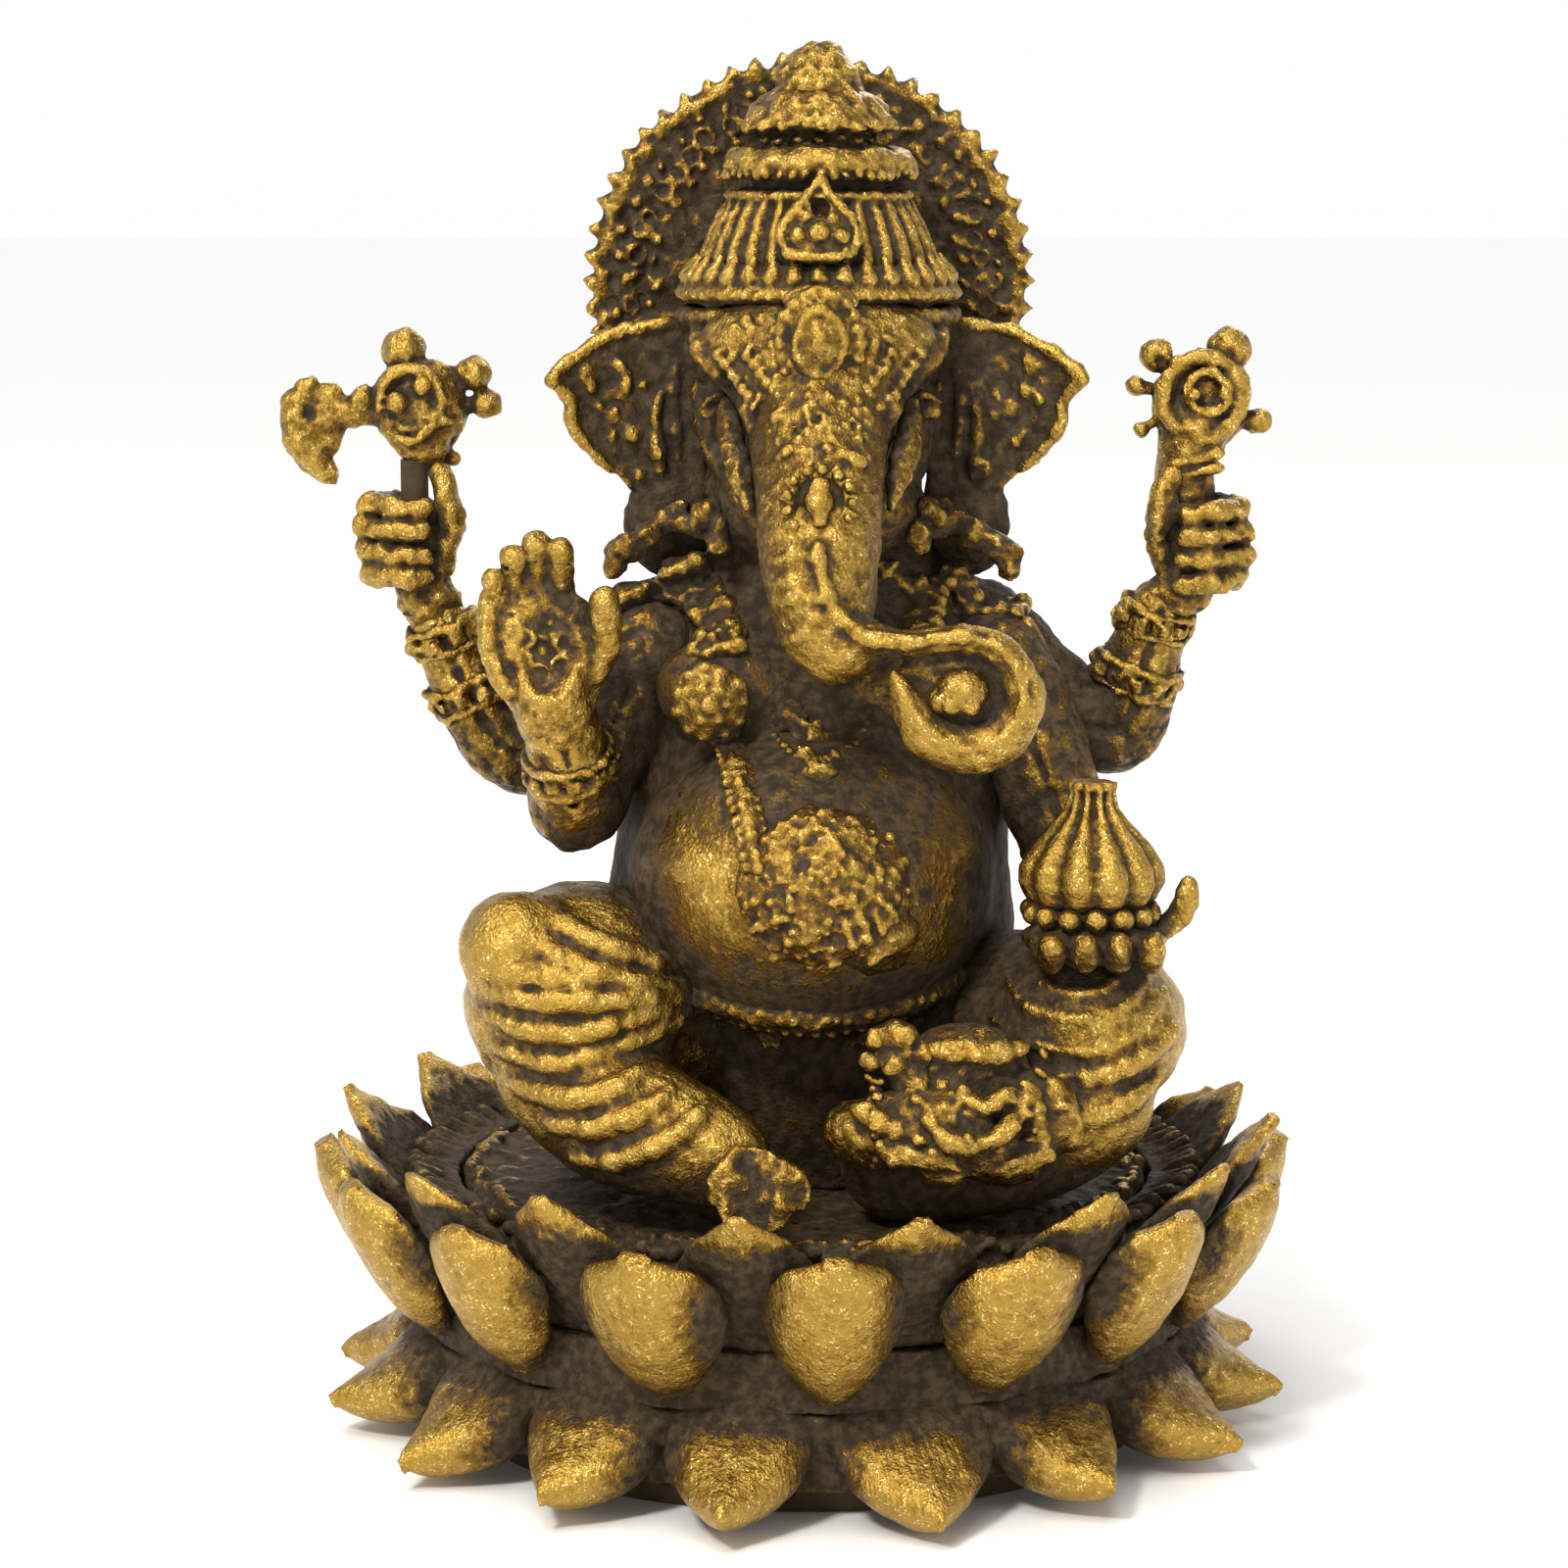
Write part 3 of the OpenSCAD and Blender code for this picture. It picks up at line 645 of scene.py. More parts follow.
class Graph:
    """A material's nodes, made one call at a time."""

    def __init__(self, name):
        self.material = bpy.data.materials.new(name)
        self.material.use_nodes = True
        self.tree = self.material.node_tree
        self.tree.nodes.clear()

    def node(self, kind, inputs=None, **settings):
        made = self.tree.nodes.new(kind)
        for key, value in settings.items():
            setattr(made, key, value)
        for key, value in (inputs or {}).items():
            if isinstance(value, bpy.types.NodeSocket):
                self.tree.links.new(value, made.inputs[key])
            else:
                made.inputs[key].default_value = value
        return made

    def math(self, operation, a, b=0.0, clamp=False):
        made = self.node("ShaderNodeMath", {0: a, 1: b}, operation=operation, use_clamp=clamp)
        return made.outputs[0]

    def swing(self, value, amount):
        """That share of how far a value is from a half."""
        return self.math("MULTIPLY", self.math("SUBTRACT", value, 0.5), amount)

    def noise(self, vector, scale, detail=3.0, rough=0.6):
        inputs = {"Vector": vector, "Scale": scale, "Detail": detail, "Roughness": rough}
        return self.node("ShaderNodeTexNoise", inputs).outputs["Fac"]

    def remap(self, value, low, high, to_low=0.0, to_high=1.0, smoothly=True):
        inputs = {"Value": value, "From Min": low, "From Max": high, "To Min": to_low, "To Max": to_high}
        kind = "SMOOTHSTEP" if smoothly else "LINEAR"
        return self.node("ShaderNodeMapRange", inputs, interpolation_type=kind).outputs["Result"]

    def mix(self, share, a, b):
        made = self.node("ShaderNodeMix", data_type="RGBA")
        for key, value in (("Factor", share), ("A", a), ("B", b)):
            socket = [s for s in made.inputs if s.name == key and s.enabled][0]
            if isinstance(value, bpy.types.NodeSocket):
                self.tree.links.new(value, socket)
            else:
                socket.default_value = (*value, 1.0)
        return [s for s in made.outputs if s.enabled][0]

    def millimetres(self):
        """The object's own coordinates in millimetres."""
        own = self.node("ShaderNodeTexCoord").outputs["Object"]
        inputs = {0: own, "Scale": 1 / MM}
        return self.node("ShaderNodeVectorMath", inputs, operation="SCALE").outputs[0]

    def bump(self, height, strength, depth):
        inputs = {"Height": height, "Strength": strength, "Distance": depth * MM}
        return self.node("ShaderNodeBump", inputs).outputs["Normal"]

    def finish(self, color, metallic, roughness, normal, specular=0.5):
        inputs = {"Base Color": color, "Metallic": metallic, "Roughness": roughness, "Normal": normal,
                  "Specular IOR Level": specular}
        shader = self.node("ShaderNodeBsdfPrincipled", inputs)
        self.node("ShaderNodeOutputMaterial", {"Surface": shader.outputs[0]})
        return self.material


# The first colour below is for painted highlight specks, not a colour of the metal.
PAINTED_GLINT = (0.98, 0.75, 0.28)
BRIGHT_GOLD = (0.44, 0.268, 0.050)
DEEP_GOLD = (0.15, 0.080, 0.015)
BLACK_PATINA = (0.030, 0.021, 0.011)
BROWN_PATINA = (0.080, 0.055, 0.028)


def aged_brass(name, brushed=0.0, grain_mm=0.17):
    """Brass whose brown-black patina is rubbed through to gold where "rub" is high.

    brushed is the strength of wire-brush strokes that run up and out from the base's axis.
    """
    g = Graph(name)
    place = g.millimetres()
    grain = g.noise(place, 1 / grain_mm, 4.0, 0.65)
    pits = g.noise(place, 0.45 / grain_mm, 3.0, 0.6)
    cloud = g.noise(place, 0.35, 4.0, 0.6)
    rub = g.node("ShaderNodeAttribute", attribute_name="rub").outputs["Fac"]
    level = g.math("ADD", rub, g.swing(grain, 0.75))
    level = g.math("ADD", level, g.swing(pits, 0.60))
    level = g.math("ADD", level, g.swing(cloud, 0.35))
    height = g.math("ADD", g.math("MULTIPLY", grain, 0.5), g.math("MULTIPLY", pits, 0.5))
    if brushed:
        strokes = brush_strokes(g, place)
        level = g.math("ADD", level, g.swing(strokes, brushed))
        height = g.math("ADD", height, g.math("MULTIPLY", strokes, brushed * 1.6))
    bare = g.remap(level, 0.36, 0.62)
    worn = g.remap(level, 0.52, 1.05)
    fleck = g.noise(place, 1.9 / grain_mm, 2.0, 0.5)
    # Painted highlights: small spots of near-white gold go into the base colour where the gold is worn,
    # standing in for glints of light. They also get a little less roughness.
    painted_glint_spots = g.remap(fleck, 0.55, 0.66)
    open_spots = g.math("MULTIPLY", worn, g.remap(pits, 0.44, 0.62))
    painted_glint = g.math("MULTIPLY", painted_glint_spots, open_spots)
    gold = g.mix(painted_glint, g.mix(worn, DEEP_GOLD, BRIGHT_GOLD), PAINTED_GLINT)
    brown = g.mix(g.remap(pits, 0.35, 0.7), BLACK_PATINA, BROWN_PATINA)
    color = g.mix(bare, brown, gold)
    matt = g.remap(bare, 0.0, 1.0, 0.68, 0.30, smoothly=False)
    matt = g.math("ADD", matt, g.swing(grain, 0.25))
    matt = g.math("SUBTRACT", matt, g.math("MULTIPLY", painted_glint, 0.16), clamp=True)
    height = g.math("ADD", height, g.math("MULTIPLY", fleck, 0.35))
    sheen = g.remap(bare, 0.0, 1.0, 0.14, 0.5, smoothly=False)
    return g.finish(color, bare, matt, g.bump(height, 0.9, 0.15), sheen)


def brush_strokes(g, place):
    """Noise drawn out along planes through the base's axis."""
    parts = g.node("ShaderNodeSeparateXYZ", {"Vector": place})
    angle = g.math("ARCTAN2", parts.outputs["Y"], parts.outputs["X"])
    around = g.math("MULTIPLY", angle, 16.0)
    slow = g.math("MULTIPLY", parts.outputs["Z"], 0.16)
    lean = g.math("MULTIPLY", parts.outputs["Z"], 0.10)
    flow = g.node("ShaderNodeCombineXYZ", {"X": g.math("ADD", around, lean), "Y": slow, "Z": 0.0})
    return g.noise(flow.outputs["Vector"], 4.2, 3.0, 0.55)


def brushed_steel(name):
    g = Graph(name)
    place = g.millimetres()
    grain = g.noise(place, 6.0, 4.0, 0.6)
    cloud = g.noise(place, 0.8, 3.0, 0.5)
    color = g.mix(g.remap(cloud, 0.3, 0.7), (0.36, 0.36, 0.37), (0.58, 0.58, 0.59))
    matt = g.remap(grain, 0.3, 0.7, 0.28, 0.48)
    return g.finish(color, 1.0, matt, g.bump(grain, 0.3, 0.03))


def dark_core(name):
    """Unrubbed patina for the plain CAD parts, which carry no "rub" attribute."""
    g = Graph(name)
    place = g.millimetres()
    grain = g.noise(place, 4.0, 4.0, 0.65)
    cloud = g.noise(place, 0.6, 4.0, 0.6)
    fleck = g.remap(grain, 0.62, 0.74)
    brown = g.mix(g.remap(cloud, 0.3, 0.7), BLACK_PATINA, BROWN_PATINA)
    color = g.mix(fleck, brown, DEEP_GOLD)
    matt = g.remap(fleck, 0.0, 1.0, 0.65, 0.42, smoothly=False)
    return g.finish(color, fleck, matt, g.bump(grain, 0.6, 0.08), 0.15)


def plain_studio(name, color):
    g = Graph(name)
    place = g.millimetres()
    grain = g.noise(place, 0.5, 3.0, 0.5)
    tint = g.mix(grain, color, tuple(c * 0.985 for c in color))
    matt = g.remap(grain, 0.0, 1.0, 0.82, 0.9)
    return g.finish(tint, 0.0, matt, g.bump(grain, 0.02, 0.05))


RUBBED = aged_brass("rubbed_brass")
PETAL = aged_brass("petal_brass", brushed=0.32)
PATINA = aged_brass("patina_brass", grain_mm=0.2)
STEEL = brushed_steel("screw_steel")
CORE = dark_core("core_patina")


# ---- Lotus base ----

PETALS = 16
PITCH = 2 * math.pi / PETALS
BORE = 12.7        # mm, radius inside the petal rows, where the drum stands
HUB = (0, 0, 0)
SHIELD = (0.34, 0.56, 0.77, 0.91, 1.0, 1.0, 0.93, 0.76, 0.24)
LOBE = (0.75, 0.92, 1.0, 0.98, 0.88, 0.72, 0.52, 0.30, 0.05)
SPEAR = (0.60, 0.80, 0.95, 1.0, 0.96, 0.85, 0.68, 0.46, 0.16)


def petal_ring(clay, first, root, tip, width, thick, sag, cup, curl, profile, seed):
    """A row of petals, each a little different from its neighbours."""
    draw = np.random.default_rng(seed)
    for i in range(PETALS):
        turn = FRONT + math.radians(first) + i * PITCH + draw.uniform(-0.02, 0.02)
        own_tip = (tip[0] + draw.uniform(-0.15, 0.05), tip[1] + draw.uniform(-0.25, 0.15))
        own_width = width * draw.uniform(0.93, 1.04)
        own_curl = curl + draw.uniform(-0.1, 0.1)
        clay.add(petal(turn, root, own_tip, own_width, thick, sag, cup, own_curl, profile), 0.08)


def bore(clay, top):
    clay.carve(lathe(HUB, ((-1, BORE), (top, BORE))))


def petal_wear(first, half, amount):
    """A keep rule: the middle of each petal is rubbed and its flanks, and what lies behind, stay dark."""
    def keep(points):
        x, y, z = points.T
        turn = np.arctan2(y, x) - FRONT - math.radians(first)
        off = np.abs((turn + PITCH / 2) % PITCH - PITCH / 2) * np.hypot(x, y)
        flank = np.clip(off / half - 0.62, 0, 1) * 1.4
        behind = fall(np.hypot(x, y), 15.4, 1.2)
        return -amount * np.maximum(flank, behind * 0.7)
    return keep


def lower_petals():
    clay = Clay("lower_petals", (0, 0, 2.45), spare=1.1)
    petal_ring(clay, -8.5, (12.8, 3.7), (17.55, 1.15), 5.5, 1.45, 0.75, 0.35, -0.1, LOBE, 11)
    clay.add(lathe(HUB, ((1.0, 13.6), (3.8, 14.2))), 0.2)
    bore(clay, 9)
    clay.carve(block((0, 0, -5), (30, 30, 5.03), 0.01))
    clay.roughen((0.9, 0.05), (0.3, 0.03), seed=12)
    cast(clay, PETAL, 0.12, keep=petal_wear(-8.5, 2.1, 0.9))


def outer_petals():
    clay = Clay("outer_petals", (0, 0, 6.85), spare=1.0)
    petal_ring(clay, 2.75, (14.3, 4.7), (17.35, 10.2), 5.1, 0.8, 0.45, 0.85, 0.35, SHIELD, 21)
    clay.add(lathe(HUB, ((3.9, 14.1), (6.0, 14.1))), 0.2)
    bore(clay, 12)
    clay.roughen((0.9, 0.05), (0.3, 0.03), seed=22)
    cast(clay, PETAL, 0.20, keep=petal_wear(2.75, 2.1, 1.0))


def inner_petals():
    clay = Clay("inner_petals", (0, 0, 8.85), spare=1.0)
    petal_ring(clay, -8.5, (13.9, 7.0), (16.9, 11.5), 4.9, 0.55, 0.25, 0.6, 0.3, SPEAR, 31)
    clay.add(lathe(HUB, ((6.0, 13.8), (8.3, 14.6), (9.2, 14.2))), 0.3)
    draw = np.random.default_rng(30)
    stamens = 130
    for k in range(stamens):
        way = spoke(2 * math.pi * k / stamens + draw.uniform(-0.015, 0.015))
        lean = draw.uniform(0.1, 0.5)
        clay.add(rod(way * 13.0 + (0, 0, 9.0), way * 14.3 + (0, 0, 9.2 + lean), 0.2, 0.26), 0.1)
    bore(clay, 14)
    clay.roughen((0.9, 0.07), (0.3, 0.05), seed=32)
    sides = petal_wear(-8.5, 1.9, 0.5)
    cast(clay, PETAL, 0.06, keep=lambda p: sides(p) - 0.5 * fall(p[:, 2], 10.9, 1.0))


def seat_deck():
    """The rough floor of the lotus round the figure, with its ring of stamens at the edge."""
    clay = Clay("seat_deck", (0, 0, 8.0), step=0.15)
    clay.add(lathe(HUB, ((6.8, 12.3), (7.8, 12.5), (9.0, 12.5), (9.2, 12.2))))
    clay.carve(lathe(HUB, ((5, 10), (8.2, 10))))
    draw = np.random.default_rng(40)
    stamens = 150
    for k in range(stamens):
        way = spoke(2 * math.pi * k / stamens + draw.uniform(-0.01, 0.01))
        inner, outer = draw.uniform(9.6, 10.8), draw.uniform(11.8, 12.35)
        clay.add(rod(way * inner + (0, 0, 9.0), way * outer + (0, 0, 9.1), 0.14, 0.2), 0.1)
        clay.add(ball(way * outer + (0, 0, 9.25), draw.uniform(0.2, 0.3)), 0.08)
    clay.roughen((0.8, 0.12), (0.35, 0.09), seed=41)
    cast(clay, PATINA, -0.42)


# ---- Body ----

TORSO = (
    (0.2, 1.4, 10.5, 6.4), (0.2, 0.8, 14, 7.2), (0.2, -0.2, 18, 7.2), (0.3, -0.4, 22, 6.8),
    (0.5, 0.2, 26, 6.3), (0.7, 0.6, 29, 4.9), (0.5, 0.2, 31.5, 3.4))


def back_dress(clay):
    """The sacred thread, the rolled waistband and the folds of the waist cloth, seen from behind."""
    thread = ((5.0, 29.0), (2.4, 25.5), (-1.0, 21.5), (-4.2, 17.5), (-5.8, 15.6))
    for offset in (-0.34, 0.0, 0.34):
        strand = [(x + offset, z + offset * 0.7) for x, z in thread]
        cord(clay, clay.drape_behind(strand), 0.24, 0.06)
    for k in range(11):
        top = 0.2 + 1.15 * (k - 5)
        fold = ((top, 14.6), (top * 1.02, 12.4), (top * 1.06 + 0.25, 9.6))
        cord(clay, clay.drape_behind(fold, 0.12), 0.42, 0.2, 0.18)
    waist = ((-6.4, 15.6), (-3.2, 15.0), (0.2, 14.8), (3.6, 15.0), (6.8, 15.6))
    for drop, r in ((0.0, 0.5), (-0.75, 0.36)):
        band = [(x, z + drop) for x, z in waist]
        cord(clay, clay.drape_behind(band), r, 0.15, 0.2)


def torso():
    clay = Clay("torso", (0.19, -1.7, 22.01), step=0.13)
    limb(clay, TORSO, 0.5, 1.6, (1, 0.82, 1))
    clay.add(blob((0.2, -3.9, 20.5), (6.5, 6.5, 5.7)), 0.5)
    for side in (-1, 1):
        clay.add(blob((HEAD_X + side * 2.9, -3.9, 27.4), (2.9, 2.0, 1.9), (0, 0, side * -12)), 0.6)
        clay.add(blob((HEAD_X + side * 5.2, 0.6, 28.7), (2.3, 2.1, 2.2)), 0.6)
        clay.add(blob((HEAD_X + side * 3.6, 1.4, 28.0), (3.2, 3.0, 2.8)), 1.2)
        clay.add(blob((HEAD_X + side * 2.7, 2.9, 26.4), (2.4, 1.9, 3.2), (0, side * 12, 0)), 1.2)
        clay.add(blob((0.2 + side * 3.4, 3.4, 12.2), (3.6, 3.8, 3.6)), 1.2)
    clay.add(blob((5.2, -6.4, 21.9), (0.75, 0.9, 0.8)), 0.3)
    spine = clay.drape_behind(((0.3, 29.0), (0.3, 25), (0.3, 20), (0.3, 17)), -0.62)
    for a, b in zip(spine, spine[1:]):
        clay.carve(rod(a, b, 0.6), 0.9)
    back_dress(clay)
    clay.carve(block((0, 0, 4.2), (20, 20, 5), 0.01))
    clay.roughen((1.1, 0.07), (0.4, 0.03), seed=51)

    # Partly painted highlight: the patch on the left of the belly is made gold where the light's highlight
    # falls, as well as being rubbed metal. The lower patch and the roll are rubbed gold.
    def belly_rub_and_highlight(points):
        x, y, z = points.T
        left = glow((-3.3, 21.3), (1.6, 1.9), x, z)
        low = glow((2.4, 19.3), (3.4, 1.4), x, z)
        roll = glow((5.0, 21.8), (0.9, 1.5), x, z)
        return np.where(y < -3, 0.66 * left + 0.36 * low + 0.30 * roll, 0)
    cast(clay, PATINA, -0.36, keep=belly_rub_and_highlight)


def belly_plate():
    """The round brocade panel on the belly: a low dome covered in small granules."""
    clay = Clay("belly_plate", (0.8, -10.05, 20.55), step=0.09, spare=1.6)
    at = np.array((0.55, -9.2, 21.15))
    clay.add(blob(at, (3.0, 1.75, 2.85), (-7, 0, 0)))
    clay.add(blob(at + (1.6, 0.1, -1.6), (1.7, 1.4, 1.5)), 0.5)
    clay.carve(block(at + (0, 4.6, 0), (6, 4, 6), 0.01))
    clay.roughen((0.9, 0.16), (0.5, 0.10), seed=61)
    golden = math.pi * (3 - math.sqrt(5))
    granules = 250
    for i in range(granules):
        reach = (2.85 + 0.2 * math.sin(i * 2.3)) * math.sqrt((i + 0.5) / granules)
        spot = clay.front(at[0] + reach * math.cos(i * golden), at[2] + reach * math.sin(i * golden))
        clay.add(ball(spot, 0.15 + 0.05 * math.sin(i * 1.7)), 0.05)
    for k in range(5):
        slope = clay.drape(((1.3 + 0.5 * k, 20.4 + 0.1 * k), (1.7 + 0.45 * k, 19.2 + 0.35 * k)), 0.05)
        cord(clay, slope, 0.2, 0.06)
    clay.roughen((0.28, 0.05), seed=62)
    cast(clay, RUBBED, -0.02)


def waist_belt():
    on = CLAYS["torso"]
    clay = Clay("waist_belt", (0.46, -8.39, 14.8), step=0.1, spare=2.6)
    line = ((-5.0, 17.4), (-2.6, 16.7), (0.5, 16.4), (3.4, 16.7), (5.4, 17.4))
    rope(clay, on.drape(line, -0.1), 0.42)
    beads(clay, on.drape([(x, z - 0.75) for x, z in line], -0.05), 0.24, 0.55)
    for x in (-3.4, -1.2, 1.9, 4.0):
        floret(clay, on.front(x, 15.3), 0.55)
    clay.roughen((0.4, 0.05), seed=65)
    cast(clay, RUBBED, -0.22)


RIDGES = (
    ((-9.0, 20.5), (-7.3, 20.1), (-5.9, 19.2), (-4.6, 18.3)),
    ((-10.7, 19.5), (-9.1, 19.8), (-7.3, 19.2), (-5.3, 18.4), (-3.9, 17.6)),
    ((-10.3, 18.5), (-9.0, 18.9), (-7.2, 18.2), (-5.2, 17.6), (-3.6, 17.1)),
    ((-10.6, 17.9), (-9.2, 18.1), (-7.6, 17.9)),
    ((-10.5, 17.3), (-7.8, 17.3), (-5.4, 17.2), (-3.4, 16.8)),
    ((-11.0, 16.6), (-9.3, 16.2), (-7.4, 16.3), (-5.4, 16.7), (-3.4, 16.6)),
    ((-10.7, 15.5), (-8.5, 15.1), (-6.5, 15.7), (-4.3, 16.3), (-3.1, 16.4)),
    ((-10.0, 14.2), (-7.6, 14.1), (-5.4, 15.0), (-3.4, 16.0)),
    ((-8.8, 13.1), (-7.0, 13.2), (-5.2, 14.0), (-3.2, 15.6)),
    ((-7.9, 12.0), (-6.2, 12.2), (-4.2, 13.2), (-2.4, 14.9)))


def right_leg():
    """The thigh under its cloth, which is drawn in folds towards the lap."""
    clay = Clay("right_leg", (-6.33, -4.79, 15.14), spare=1.0)
    limb(clay, ((-3.6, 0.4, 13.4, 4.0), (-6.2, -2.6, 15.4, 4.2), (-7.9, -5.2, 16.5, 3.9)), 0.4)
    clay.add(blob((-8.0, -5.7, 16.6), (4.0, 4.5, 4.0), (0, -8, 0)), 0.4)
    limb(clay, ((-8.5, -7.3, 14.3, 2.3), (-6.2, -9.2, 13.0, 2.3), (-2.9, -10.6, 12.0, 1.7)), 0.4)
    paths = [clay.drape(line, 0.02) for line in RIDGES]
    for side_z in (18.9, 17.3, 15.9, 14.5, 13.2):
        line = ((-18, -3.6, side_z), (-18, -1.2, side_z - 0.2), (-18, 1.2, side_z - 0.9))
        paths.append(clay.drape(line, 0.02, way=(1, 0, 0)))
    for path in paths:
        cord(clay, path, 0.46, 0.12, 0.2)
    clay.add(blob((-10.0, -7.5, 18.7), (2.1, 2.3, 2.0)), 0.5)
    clay.roughen((0.7, 0.07), (0.28, 0.035), seed=71)

    def dark_below(points):
        x, y, z = points.T
        lap = rise(x, -4.6, 2.2) * rise(y, -9.5, 2)
        return -0.45 * fall(z, 13.4, 2.0) - 0.5 * lap
    cast(clay, RUBBED, 0.22, keep=dark_below)


U_FOLDS = (
    ((8.0, 17.8), (8.9, 17.5), (10.2, 17.6), (11.2, 18.2)),
    ((7.0, 17.6), (7.7, 16.9), (8.9, 16.7), (10.4, 16.8), (11.5, 17.4), (12.1, 18.2)),
    ((6.1, 16.6), (7.1, 15.9), (8.8, 15.6), (10.4, 15.7), (11.6, 16.4), (12.6, 17.4)),
    ((8.4, 14.6), (10.0, 14.7), (11.6, 15.3), (12.9, 16.2)),
    ((9.0, 13.3), (10.6, 13.5), (12.4, 14.6)))


def left_leg():
    clay = Clay("left_leg", (7.19, -4.25, 14.09), spare=1.0)
    limb(clay, ((4.0, 0.4, 12.8, 3.5), (7.2, -2.8, 14.4, 3.8), (9.8, -5.8, 15.4, 3.3)), 0.4)
    clay.add(blob((10.0, -6.3, 15.8), (3.45, 4.0, 3.1), (0, 8, 0)), 0.4)
    limb(clay, ((9.8, -8.0, 13.5, 2.4), (7.0, -8.8, 12.0, 2.2), (3.2, -8.8, 11.4, 2.0)), 0.4)
    for number, line in enumerate(U_FOLDS):
        cord(clay, clay.drape(line, 0.06), 0.22 if number < 3 else 0.42, 0.12, 0.12)
    cord(clay, clay.drape(((6.1, 17.2), (5.6, 16.4), (5.4, 15.4)), 0.05), 0.28, 0.12, 0.1)
    for side_z in (17.0, 15.6, 14.2):
        line = ((20, -4.6, side_z), (20, -2.2, side_z - 0.3), (20, 0.4, side_z - 1.2))
        cord(clay, clay.drape(line, 0.12, way=(-1, 0, 0)), 0.45, 0.12, 0.2)
    clay.roughen((0.7, 0.05), (0.28, 0.03), seed=75)

    def dark_inside(points):
        x, y, z = points.T
        lap = glow((8.6, 17.6), (2.6, 1.6), x, z)
        return -0.6 * glow((4.6,), (3.0,), x) - 0.25 * lap - 0.4 * fall(z, 12.8, 1.5)
    cast(clay, RUBBED, 0.20, keep=dark_inside)


def right_foot():
    """The foot that lies across the front, its cloth hem and its toes."""
    clay = Clay("right_foot", (4.4, -11.54, 12.99), step=0.09, spare=2.4)
    limb(clay, ((1.8, -10.8, 12.9, 1.15), (4.6, -11.7, 13.3, 1.4), (6.9, -11.2, 12.3, 1.2)), 0.3)
    hem = ((4.0, -12.9, 13.9), (4.9, -13.3, 13.15), (6.3, -13.2, 13.2), (7.3, -12.6, 14.0),
           (7.5, -12.2, 14.8))
    cord(clay, smooth(hem), 0.36, 0.1, 0.2)
    inner = ((5.0, -12.4, 14.6), (6.0, -12.7, 14.3), (7.0, -12.3, 14.7))
    cord(clay, smooth(inner), 0.3, 0.1, 0.15)
    toes = (
        ((1.7, -12.1, 14.0), (2.6, -12.5, 13.7), (3.5, -12.6, 13.3), 0.42),
        ((2.4, -12.4, 12.8), (3.6, -12.8, 12.6), (5.0, -12.9, 12.4), 0.45),
        ((6.2, -12.2, 12.0), (7.2, -12.3, 12.2), (8.2, -12.1, 12.5), 0.42),
        ((4.1, -12.2, 11.9), (4.7, -12.3, 11.8), (5.3, -12.2, 11.9), 0.36))
    for *line, r in toes:
        cord(clay, smooth(line), r, 0.12, r * 0.6)
    sash = ((4.1, -11.4, 16.0), (5.2, -11.7, 15.9), (6.4, -11.6, 15.8), (7.5, -11.2, 15.95))
    cord(clay, smooth(sash), 0.42, 0.1, 0.24)
    clay.add(blob((5.6, -9.9, 15.4), (2.0, 1.5, 1.1)), 0.4)
    clay.add(blob((5.4, -10.6, 14.6), (2.4, 1.3, 1.2), (0, 6, 0)), 0.4)
    for flute in (((7.5, -12.0, 14.8), (7.8, -12.2, 13.6), (8.0, -12.0, 12.4)),
                  ((8.3, -11.3, 14.9), (8.9, -11.4, 13.6), (9.1, -11.2, 12.5))):
        cord(clay, smooth(flute), 0.42, 0.15, 0.25)
    clay.add(blob((7.9, -10.9, 13.5), (1.5, 1.2, 1.6)), 0.3)
    draw = np.random.default_rng(80)
    for _ in range(46):
        x, z = draw.uniform(2.2, 8.6), draw.uniform(11.6, 16.4)
        met = clay.front(x, z)
        if met[1] < -11.2:
            clay.add(blob(met, (draw.uniform(0.15, 0.4), 0.22, draw.uniform(0.12, 0.24)),
                          (0, draw.uniform(-50, 50), 0)), 0.12)
    clay.roughen((0.6, 0.11), (0.26, 0.05), seed=81)
    cast(clay, RUBBED, 0.0, keep=lambda p: -0.35 * rise(p[:, 1], -11.0, 0.8))


def anklet():
    """A ring of beads round the ankle under a cluster of hollow bells."""
    clay = Clay("anklet", (2.38, -11.2, 13.2), step=0.08, spare=3.4)
    for x, z, r in ((2.4, 16.3, 0.42), (3.4, 16.5, 0.42), (3.0, 15.5, 0.46), (2.2, 15.6, 0.36),
                    (4.0, 15.9, 0.34), (3.9, 14.7, 0.40), (4.6, 14.6, 0.42), (4.3, 14.0, 0.34)):
        clay.add(ball((x, -11.9 + 0.12 * (z - 14), z), r), 0.06)
        clay.carve(ball((x - 0.05, -12.45 + 0.12 * (z - 14), z), 0.15), 0.05)
    clay.add(rod((3.0, -11.2, 16.2), (4.0, -11.3, 14.2), 0.75), 0.2)
    studs(clay, circle((2.38, -11.2, 13.2), 1.35, 18, axis=0), 0.24, 0.08)
    clay.roughen((0.4, 0.09), (0.22, 0.04), seed=85)
    cast(clay, RUBBED, -0.04, keep=lambda p: -0.4 * fall(p[:, 2], 14.6, 0.8))


